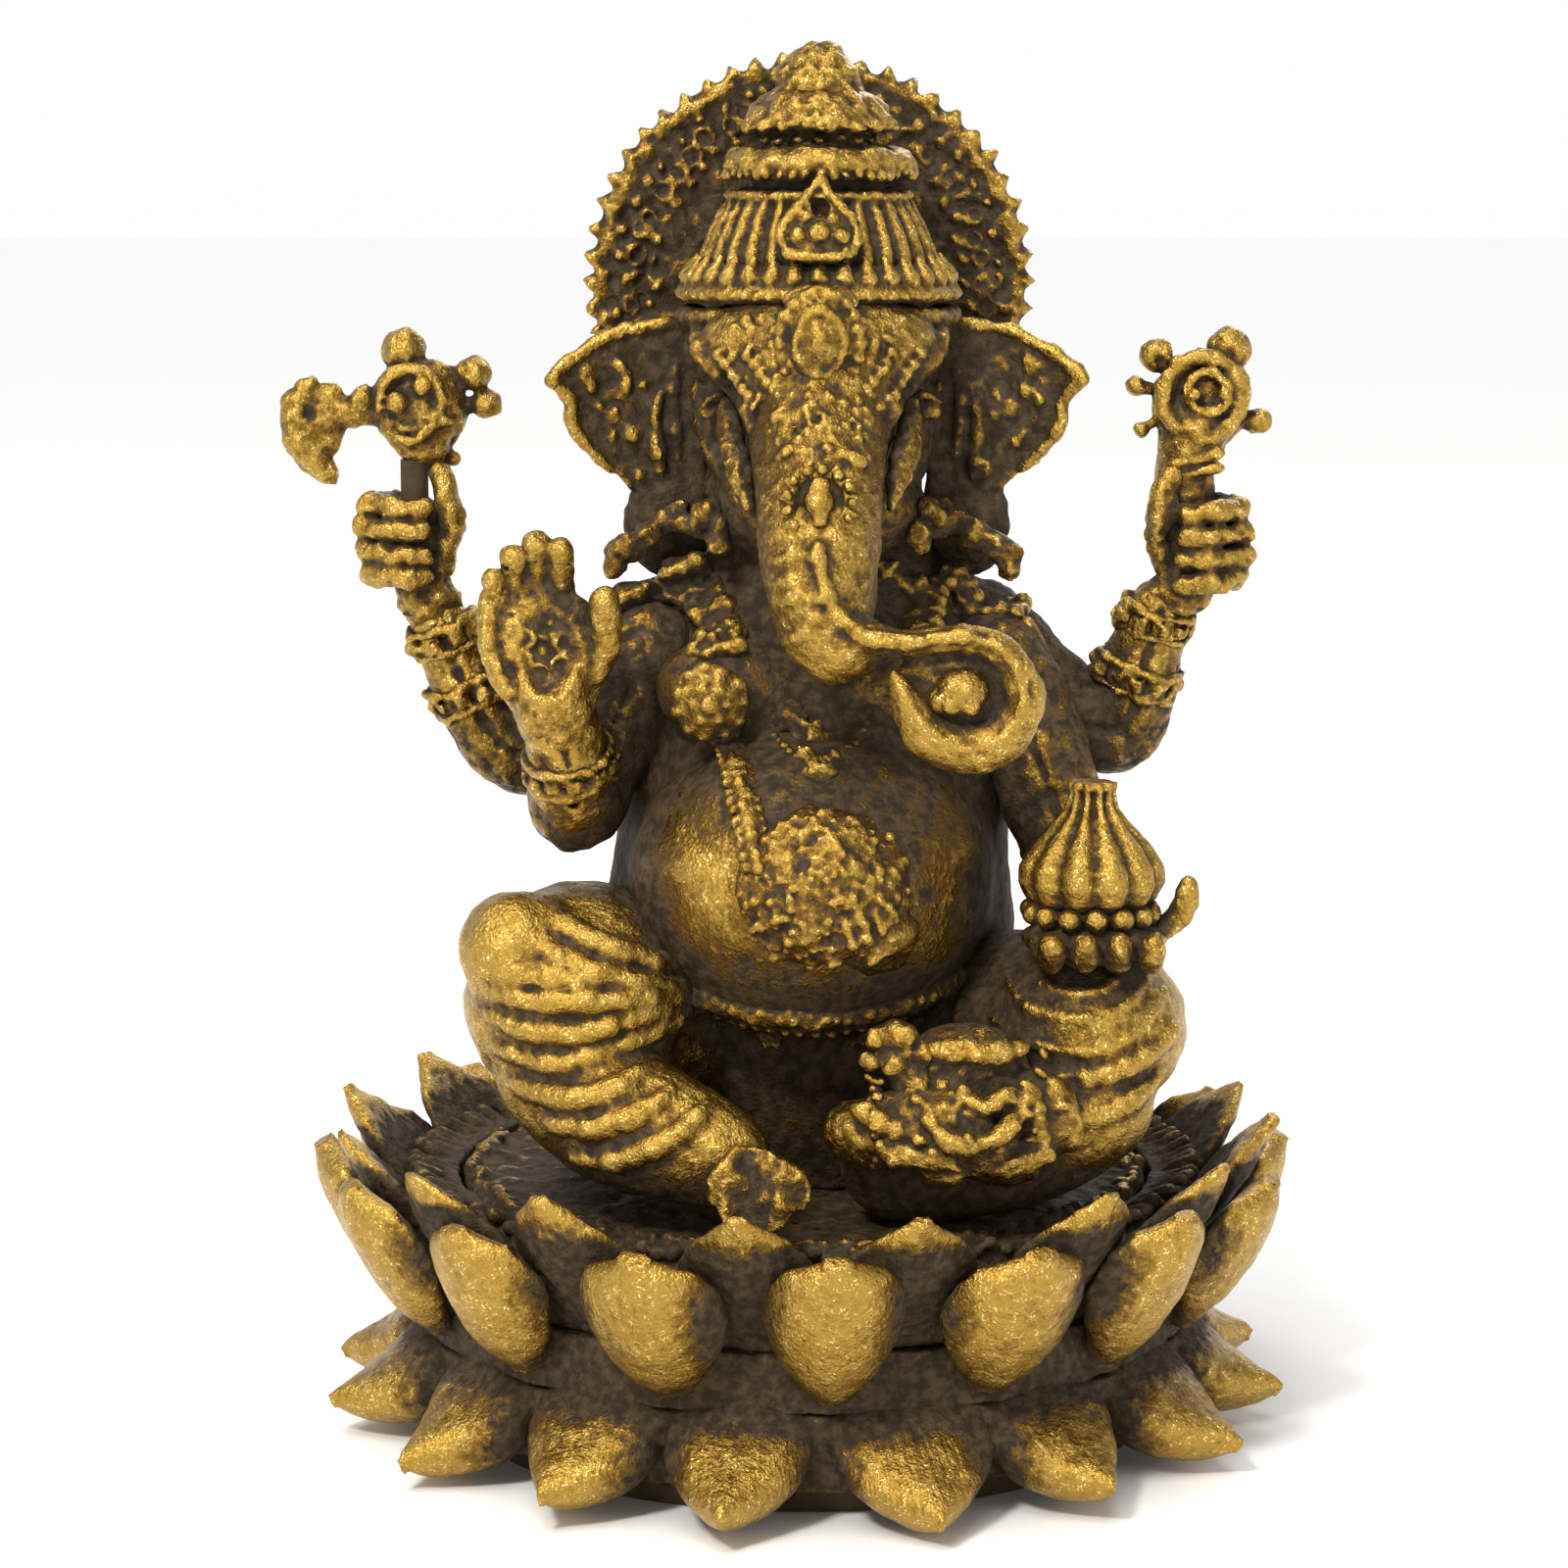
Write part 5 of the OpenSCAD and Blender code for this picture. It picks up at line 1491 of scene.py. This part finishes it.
def ear(node, drawn_at, side, root_x, seed):
    """A fan of an ear: thin, bowed forward at its outer edge, with a rolled rim and relief."""
    clay = Clay(node, drawn_at, step=0.1, spare=1.0)
    outline = [(root_x + side * x, z) for x, z in EAR]

    def bow(x, z):
        out = np.clip((x - root_x) * side, 0, 5)
        return 0.35 - 0.045 * out ** 2 + 0 * z
    clay.add(plate(outline, -0.6, 0.30, bow))
    rim = [(x, -0.85 + float(bow(x, z)), z) for x, z in outline[:9]]
    cord(clay, smooth(rim, 0.3), 0.26, 0.1, 0.16)
    clay.add(blob((root_x + side * 0.9, 0.2, 32.9), (1.6, 1.1, 2.0)), 0.5)
    draw = np.random.default_rng(seed)
    for _ in range(44):
        u, z = draw.uniform(0.8, 3.9), draw.uniform(34.2, 38.6)
        if u < 0.9 + (z - 33.0) * 0.65:
            met = clay.front(root_x + side * u, z)
            clay.add(blob(met, (draw.uniform(0.2, 0.42), 0.22, draw.uniform(0.2, 0.5)),
                          (0, draw.uniform(-60, 60), 0)), 0.08)
    rods = (((0.55, 38.6), (0.7, 37.0), (0.5, 35.2)), ((1.15, 37.6), (1.35, 36.2), (1.1, 34.6)))
    for line in rods:
        cord(clay, clay.drape([(root_x + side * u, z) for u, z in line], -0.08), 0.26, 0.08, 0.14)
    lobe = clay.front(root_x + side * 1.2, 32.4)
    clay.add(blob(lobe, (0.8, 0.5, 0.9)), 0.2)
    clay.roughen((0.5, 0.07), (0.24, 0.045), seed=seed)

    def edge_only(points):
        x, y, z = points.T
        out = (x - root_x) * side
        rim = rise(z + 0.55 * np.clip(out - 2.2, 0, 3), 39.2, 0.6)
        flap = rise(out, 1.2, 1.5) * rise(z, 34.5, 1.5)
        return -0.32 + 0.14 * flap + 0.2 * rim - 0.3 * fall(z, 34.8, 1.0)
    clay.roughen((0.8, 0.05), seed=seed + 5)
    cast(clay, PATINA, 0.0, keep=edge_only)


def ear_drops():
    """Lumpy pendants that hang from the cheeks out past the lobes."""
    clay = Clay("ear_drops", (0.5, -1.9, 32), step=0.09, spare=1.2)
    for side, x in ((-1, -6.45), (1, 7.0)):
        at = np.array((x, -1.9, 32.1))
        clay.add(blob(at, (0.85, 0.6, 0.55), (0, side * 25, 0)))
        clay.add(ball(at + (-side * 0.9, 0.0, 0.5), 0.5), 0.2)
        clay.add(ball(at + (side * 0.3, -0.1, -0.55), 0.5), 0.2)
        clay.add(rod(at + (-side * 1.0, 0.2, 0.6), at + (-side * 2.0, 0.5, 1.4), 0.4), 0.2)
        clay.add(blob((HEAD_X + side * 4.0, -3.2, 33.5), (0.7, 0.5, 0.45), (0, side * 40, 0)), 0.1)
        clay.add(blob((HEAD_X + side * 3.5, -3.4, 32.7), (0.45, 0.45, 0.7)), 0.15)
        clay.add(rod((HEAD_X + side * 3.6, -2.8, 32.9), at + (-side * 1.6, 0.3, 1.0), 0.4), 0.2)
    clay.roughen((0.6, 0.15), (0.24, 0.08), seed=181)
    cast(clay, PATINA, -0.40)


def forehead_jewel():
    """An oval medallion with a beaded border, on the brow under the crown."""
    clay = Clay("forehead_jewel", (0.5, -6.43, 39.67), step=0.08, spare=1.0)
    at = np.array((HEAD_X, -6.25, 40.0))
    clay.add(blob(at + (0, 0.1, -0.35), (1.3, 1.0, 1.75)))
    clay.add(blob(at + (0, 0.4, 1.1), (1.35, 0.8, 0.55)), 0.3)
    oval = [at + (1.32 * math.cos(a), -0.15, -0.4 + 1.72 * math.sin(a))
            for a in np.arange(22) * math.pi / 11]
    for spot in oval:
        clay.add(ball(spot, 0.25), 0.08)
        clay.add(rod(spot, at + (0, 0.6, -0.4), 0.26), 0.1)
    ring = [at + (0.8 * math.cos(a), -0.62, -0.4 + 1.1 * math.sin(a))
            for a in np.linspace(0, 2 * math.pi, 24)]
    cord(clay, ring, 0.15, 0.08)
    clay.add(blob(at + (0, -0.7, -0.4), (0.36, 0.3, 0.5)), 0.1)
    clay.add(ball(at + (0, -0.5, 0.75), 0.3), 0.1)
    clay.roughen((0.45, 0.09), (0.22, 0.045), seed=185)
    cast(clay, RUBBED, 0.04)


def trunk_rosette():
    """Toothed disc with a round boss, tied on the trunk."""
    clay = Clay("trunk_rosette", (0.5, -10.39, 34.53), step=0.07, spare=1.0)
    at = np.array((0.45, -9.4, 34.45))
    clay.add(lathe(at, ((-0.55, 1.15), (0.0, 1.22), (0.5, 1.2)), flutes=13, depth=0.22, axis=1), 0.05)
    clay.carve(hoop(at + (0, -0.6, 0), 0.68, 0.2, axis=1), 0.06)
    clay.add(ball(at + (0, -0.6, 0), 0.46), 0.08)
    studs(clay, circle(at + (0, -0.62, 0), 1.12, 13), 0.17, 0.04)
    clay.add(rod(at + (0, -0.7, 0.5), at + (0.05, -0.75, -0.55), 0.34, 0.26), 0.1)
    clay.roughen((0.4, 0.07), (0.22, 0.04), seed=187)
    cast(clay, RUBBED, 0.14)


# ---- Crown and halo ----

AXIS = (HEAD_X, -0.4, 0)
TIER_GRAIN = ((0.5, 0.12), (0.22, 0.06))


def on_axis(height):
    return np.array(AXIS) + (0, 0, height)


def crown_tier(node, height, step, body, lip, rows, grain, seed, bias):
    """A turned tier: its body and lip are a shape and a blend each, its rows are rings of balls."""
    clay = Clay(node, on_axis(height), step=step)
    clay.add(*body)
    if lip:
        clay.add(*lip)
    for row_height, radius, count, r, blend in rows:
        studs(clay, circle(on_axis(row_height), radius, count, axis=2), r, blend)
    clay.roughen(*grain, seed=seed)
    cast(clay, RUBBED, bias)


def crown_band():
    """Lowest tier: a lipped rim under a row of pointed pearls."""
    clay = Clay("crown_band", on_axis(41.58), step=0.09, spare=0.8)
    clay.add(lathe(AXIS, ((40.95, 4.7), (41.15, 5.0), (41.45, 4.9), (42.2, 4.35))), 0.1)
    clay.add(hoop(on_axis(41.2), 4.75, 0.3), 0.1)
    for at in circle(on_axis(41.75), 4.62, 34, axis=2, phase=FRONT):
        inward = (on_axis(42.4) - at) * (0.06, 0.06, 1)
        clay.add(rod(at, at + inward, 0.38, 0.16), 0.05)
    studs(clay, circle(on_axis(41.15), 5.0, 62, axis=2), 0.15, 0.04)
    clay.roughen((0.4, 0.05), (0.22, 0.03), seed=191)
    cast(clay, RUBBED, 0.06)


def crown_dome():
    outline = ((41.8, 4.2), (42.4, 4.12), (43.2, 3.85), (44.0, 3.45), (44.6, 3.0), (44.85, 2.6))
    body = (lathe(AXIS, outline, flutes=30, depth=0.17, sharp=0.6), 0.05)
    lip = (hoop(on_axis(44.55), 3.1, 0.22), 0.06)
    rows = ((44.6, 3.25, 36, 0.14, 0.03),)
    crown_tier("crown_dome", 43.3, 0.09, body, lip, rows, ((0.4, 0.05), (0.22, 0.035)), 192, 0.02)


def crown_crest():
    """Leaf-shaped plaque on the front of the dome."""
    clay = Clay("crown_crest", (0.5, -5.0, 43.77), step=0.07, spare=1.0)
    half_leaf = ((0.0, 45.15), (0.32, 44.75), (0.75, 44.2), (1.15, 43.7), (1.3, 43.2),
                 (1.15, 42.75), (0.6, 42.55))
    leaf = [(HEAD_X + x, z) for x, z in half_leaf] + [(HEAD_X - x, z) for x, z in half_leaf[:0:-1]]

    def lean(x, z):
        return 0.42 * (z - 42.5) + 0.12 * (x - HEAD_X) ** 2
    clay.add(plate(leaf, -4.9, 0.32, lean))
    rim = [(x, -5.2 + lean(x, z), z) for x, z in leaf]
    cord(clay, smooth(rim + rim[:1], 0.3), 0.2, 0.06)
    clay.carve(ball((HEAD_X, -4.9 + 0.6, 44.2), 0.34), 0.06)
    gems = ((0, 43.35, 0.42), (-0.75, 43.2, 0.34), (0.75, 43.2, 0.34), (-0.45, 43.85, 0.26),
            (0.45, 43.85, 0.26))
    for x, z, r in gems:
        clay.add(ball((HEAD_X + x, -5.15 + lean(HEAD_X + x, z), z), r), 0.05)
    clay.roughen((0.4, 0.10), (0.2, 0.04), seed=193)
    cast(clay, RUBBED, 0.06)


def crown_ring():
    """The fat ring, a hoop flattened to four fifths of its height."""
    flat = 0.8
    body = (lathe(AXIS, ((44.4, 2.3), (45.0, 2.4), (46.5, 2.0))), 0.1)
    lip = (scaled(hoop(on_axis(45.7 / flat), 2.68, 0.72), (1, 1, flat)), 0.1)
    rows = ((45.35, 3.3, 44, 0.17, 0.05),)
    crown_tier("crown_ring", 45.45, 0.09, body, lip, rows, TIER_GRAIN, 194, 0.04)


def crown_disc():
    outline = ((46.1, 1.9), (46.8, 1.7), (46.95, 2.6), (47.2, 2.62), (47.7, 2.4), (48.05, 2.05),
               (48.3, 1.5))
    body = (lathe(AXIS, outline, flutes=18, depth=0.05), 0.05)
    rows = ((47.05, 2.5, 18, 0.28, 0.08), (46.55, 1.9, 16, 0.18, 0.05))
    crown_tier("crown_disc", 47.08, 0.08, body, None, rows, TIER_GRAIN, 195, 0.06)


def crown_finial():
    outline = ((47.7, 1.5), (48.2, 1.62), (48.6, 1.55), (49.0, 1.35), (49.4, 1.08), (49.75, 0.75),
               (49.95, 0.35))
    lip = (hoop(on_axis(48.9), 1.3, 0.16), 0.1)
    rows = ((48.25, 1.5, 16, 0.17, 0.08),)
    crown_tier("crown_finial", 48.8, 0.07, (lathe(AXIS, outline), 0.1), lip, rows, TIER_GRAIN, 196, 0.10)


def halo():
    """A flat toothed disc behind the crown with a raised border and scroll relief."""
    clay = Clay("halo", (0.2, 4.69, 44.55), step=0.1)
    middle = np.array((0.2, 4.5, 41.4))
    teeth = 52
    clay.add(lathe(middle, ((-0.4, 8.0), (0.45, 8.0)), flutes=teeth, depth=0.3, axis=1), 0.05)
    for back in (-0.2, 0.3):
        clay.add(hoop(middle + (0, back, 0), 7.6, 0.35, axis=1), 0.2)
    draw = np.random.default_rng(201)
    for k in range(26):
        angle = math.radians(-8 + 196 * k / 25)
        out = np.array((math.cos(angle), 0, math.sin(angle)))
        along = np.array((-out[2], 0, out[0]))
        at = middle + out * draw.uniform(6.1, 6.6) + (0, -0.4, 0)
        clay.add(hoop(at + along * draw.uniform(-0.2, 0.2), draw.uniform(0.25, 0.42), 0.15, axis=1), 0.06)
        clay.add(ball(at + out * 0.62 + along * draw.uniform(-0.2, 0.2), 0.24), 0.06)
        clay.add(blob(at - out * 0.62, (0.3, 0.2, 0.22), (0, draw.uniform(-60, 60), 0)), 0.06)
        clay.add(ball(at + (0, 0.85, 0), 0.26), 0.08)
    for at in circle(middle + (0, -0.25, 0), 7.95, teeth, axis=1, phase=math.pi / 2):
        clay.add(blob(at, (0.26, 0.3, 0.26)), 0.08)
    clay.add(block((0.3, 3.9, 42.6), (1.6, 0.9, 1.4), 0.3), 0.3)
    clay.carve(block((0.2, 5, 36.5), (20, 8, 3.0), 0.01))
    clay.roughen((0.5, 0.12), (0.26, 0.08), seed=202)

    def rim_only(points):
        out = np.hypot(points[:, 0] - middle[0], points[:, 2] - middle[2])
        return -0.30 + 0.10 * rise(out, 7.3, 0.5)
    cast(clay, PATINA, 0.0, keep=rim_only)


# ---- Studio ----

def put(name, data, place, turn):
    """A lamp or camera put into the scene."""
    made = bpy.data.objects.new(name, data)
    made.location = place
    made.rotation_euler = turn
    bpy.context.scene.collection.objects.link(made)
    return made


def studio():
    low, high = (np.array(corner) for corner in cad_box)
    middle = Vector((low + high) / 2)
    bpy.ops.mesh.primitive_grid_add(x_subdivisions=8, y_subdivisions=8, size=4, location=(0, 0, low[2]))
    floor = bpy.context.object
    floor.name = "floor"
    floor.data.materials.append(plain_studio("pale_floor", (0.94, 0.94, 0.935)))

    world = bpy.data.worlds.new("studio")
    bpy.context.scene.world = world
    world.use_nodes = True
    nodes, links = world.node_tree.nodes, world.node_tree.links
    way = nodes.new("ShaderNodeTexCoord")
    parts = nodes.new("ShaderNodeSeparateXYZ")
    softbox = nodes.new("ShaderNodeMapRange")
    for key, value in (("From Min", 0.15), ("From Max", 0.6), ("To Min", 1.0), ("To Max", 0.35)):
        softbox.inputs[key].default_value = value
    nodes["Background"].inputs["Color"].default_value = (1.0, 1.0, 1.0, 1)
    links.new(way.outputs["Generated"], parts.inputs["Vector"])
    links.new(parts.outputs["Z"], softbox.inputs["Value"])
    links.new(softbox.outputs["Result"], nodes["Background"].inputs["Strength"])

    lamps = (
        ("key", (-0.14, -0.26, 0.30), 0.06, 1.05, (1.0, 0.96, 0.90)),
        ("fill", (0.30, -0.22, 0.14), 0.12, 0.12, (0.95, 0.97, 1.0)),
        ("back", (0.10, 0.34, 0.22), 0.12, 0.30, (1.0, 1.0, 1.0)))
    for name, place, size, power, color in lamps:
        light = bpy.data.lights.new(name, "AREA")
        light.size = size
        light.energy = power
        light.color = color
        put(name, light, place, (middle - Vector(place)).to_track_quat("-Z", "Y").to_euler())

    light = bpy.data.lights.new("overhead", "SUN")
    light.angle = math.radians(40)
    light.energy = 1.9
    put("overhead", light, (0, 0, 0), (math.radians(14), math.radians(-8), 0))

    # The picture was taken from 150 mm in front, just under the crown's top, looking a little down.
    camera = bpy.data.cameras.new("camera")
    camera.lens = 95.6
    camera.sensor_width = 36
    camera.clip_start = 0.01
    place = (-0.73 * MM, -150 * MM, high[2] - 3.72 * MM)
    bpy.context.scene.camera = put("camera", camera, place, (math.radians(90 - 8.695), 0, 0))
    bpy.context.scene.view_settings.view_transform = "Standard"


def build():
    for make in (lower_petals, outer_petals, inner_petals, seat_deck, torso, belly_plate, waist_belt,
                 right_leg, left_leg, right_foot, anklet, cloth_fan, arms, blessing_hand,
                 offering_hand, bracelets, axe_head, noose_head, sweet, sweet_beads, necklace,
                 sash_tassel, shoulder_garlands, head, trunk, trunk_sweet, ear_drops,
                 forehead_jewel, trunk_rosette, crown_band, crown_dome, crown_crest, crown_ring,
                 crown_disc, crown_finial, halo):
        make()
    fist("upper_right_hand", (-14, -0.21, 32.17), (-14, -0.5, 32.2), (-13.2, -0.2, 29.4), -1, 97)
    fist("upper_left_hand", (14, -0.21, 31.99), (14, -0.5, 32.0), (12.9, -0.2, 29.9), 1, 98)
    tusk("right_tusk", (-2.42, -5.68, 36), -1)
    tusk("left_tusk", (3.42, -5.68, 36), 1)
    ear("right_ear", (-5.63, -0.5, 35.65), -1, -4.0, 175)
    ear("left_ear", (6.65, -0.5, 35.65), 1, 4.9, 176)
    wear()
    for node, material in (("base_cover", CORE), ("lotus_core", CORE), ("cover_screws", STEEL),
                           ("figure_screw", STEEL), ("axe_handle", CORE), ("noose_stem", CORE)):
        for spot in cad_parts[node].material_slots:
            spot.material = material


build()
studio()
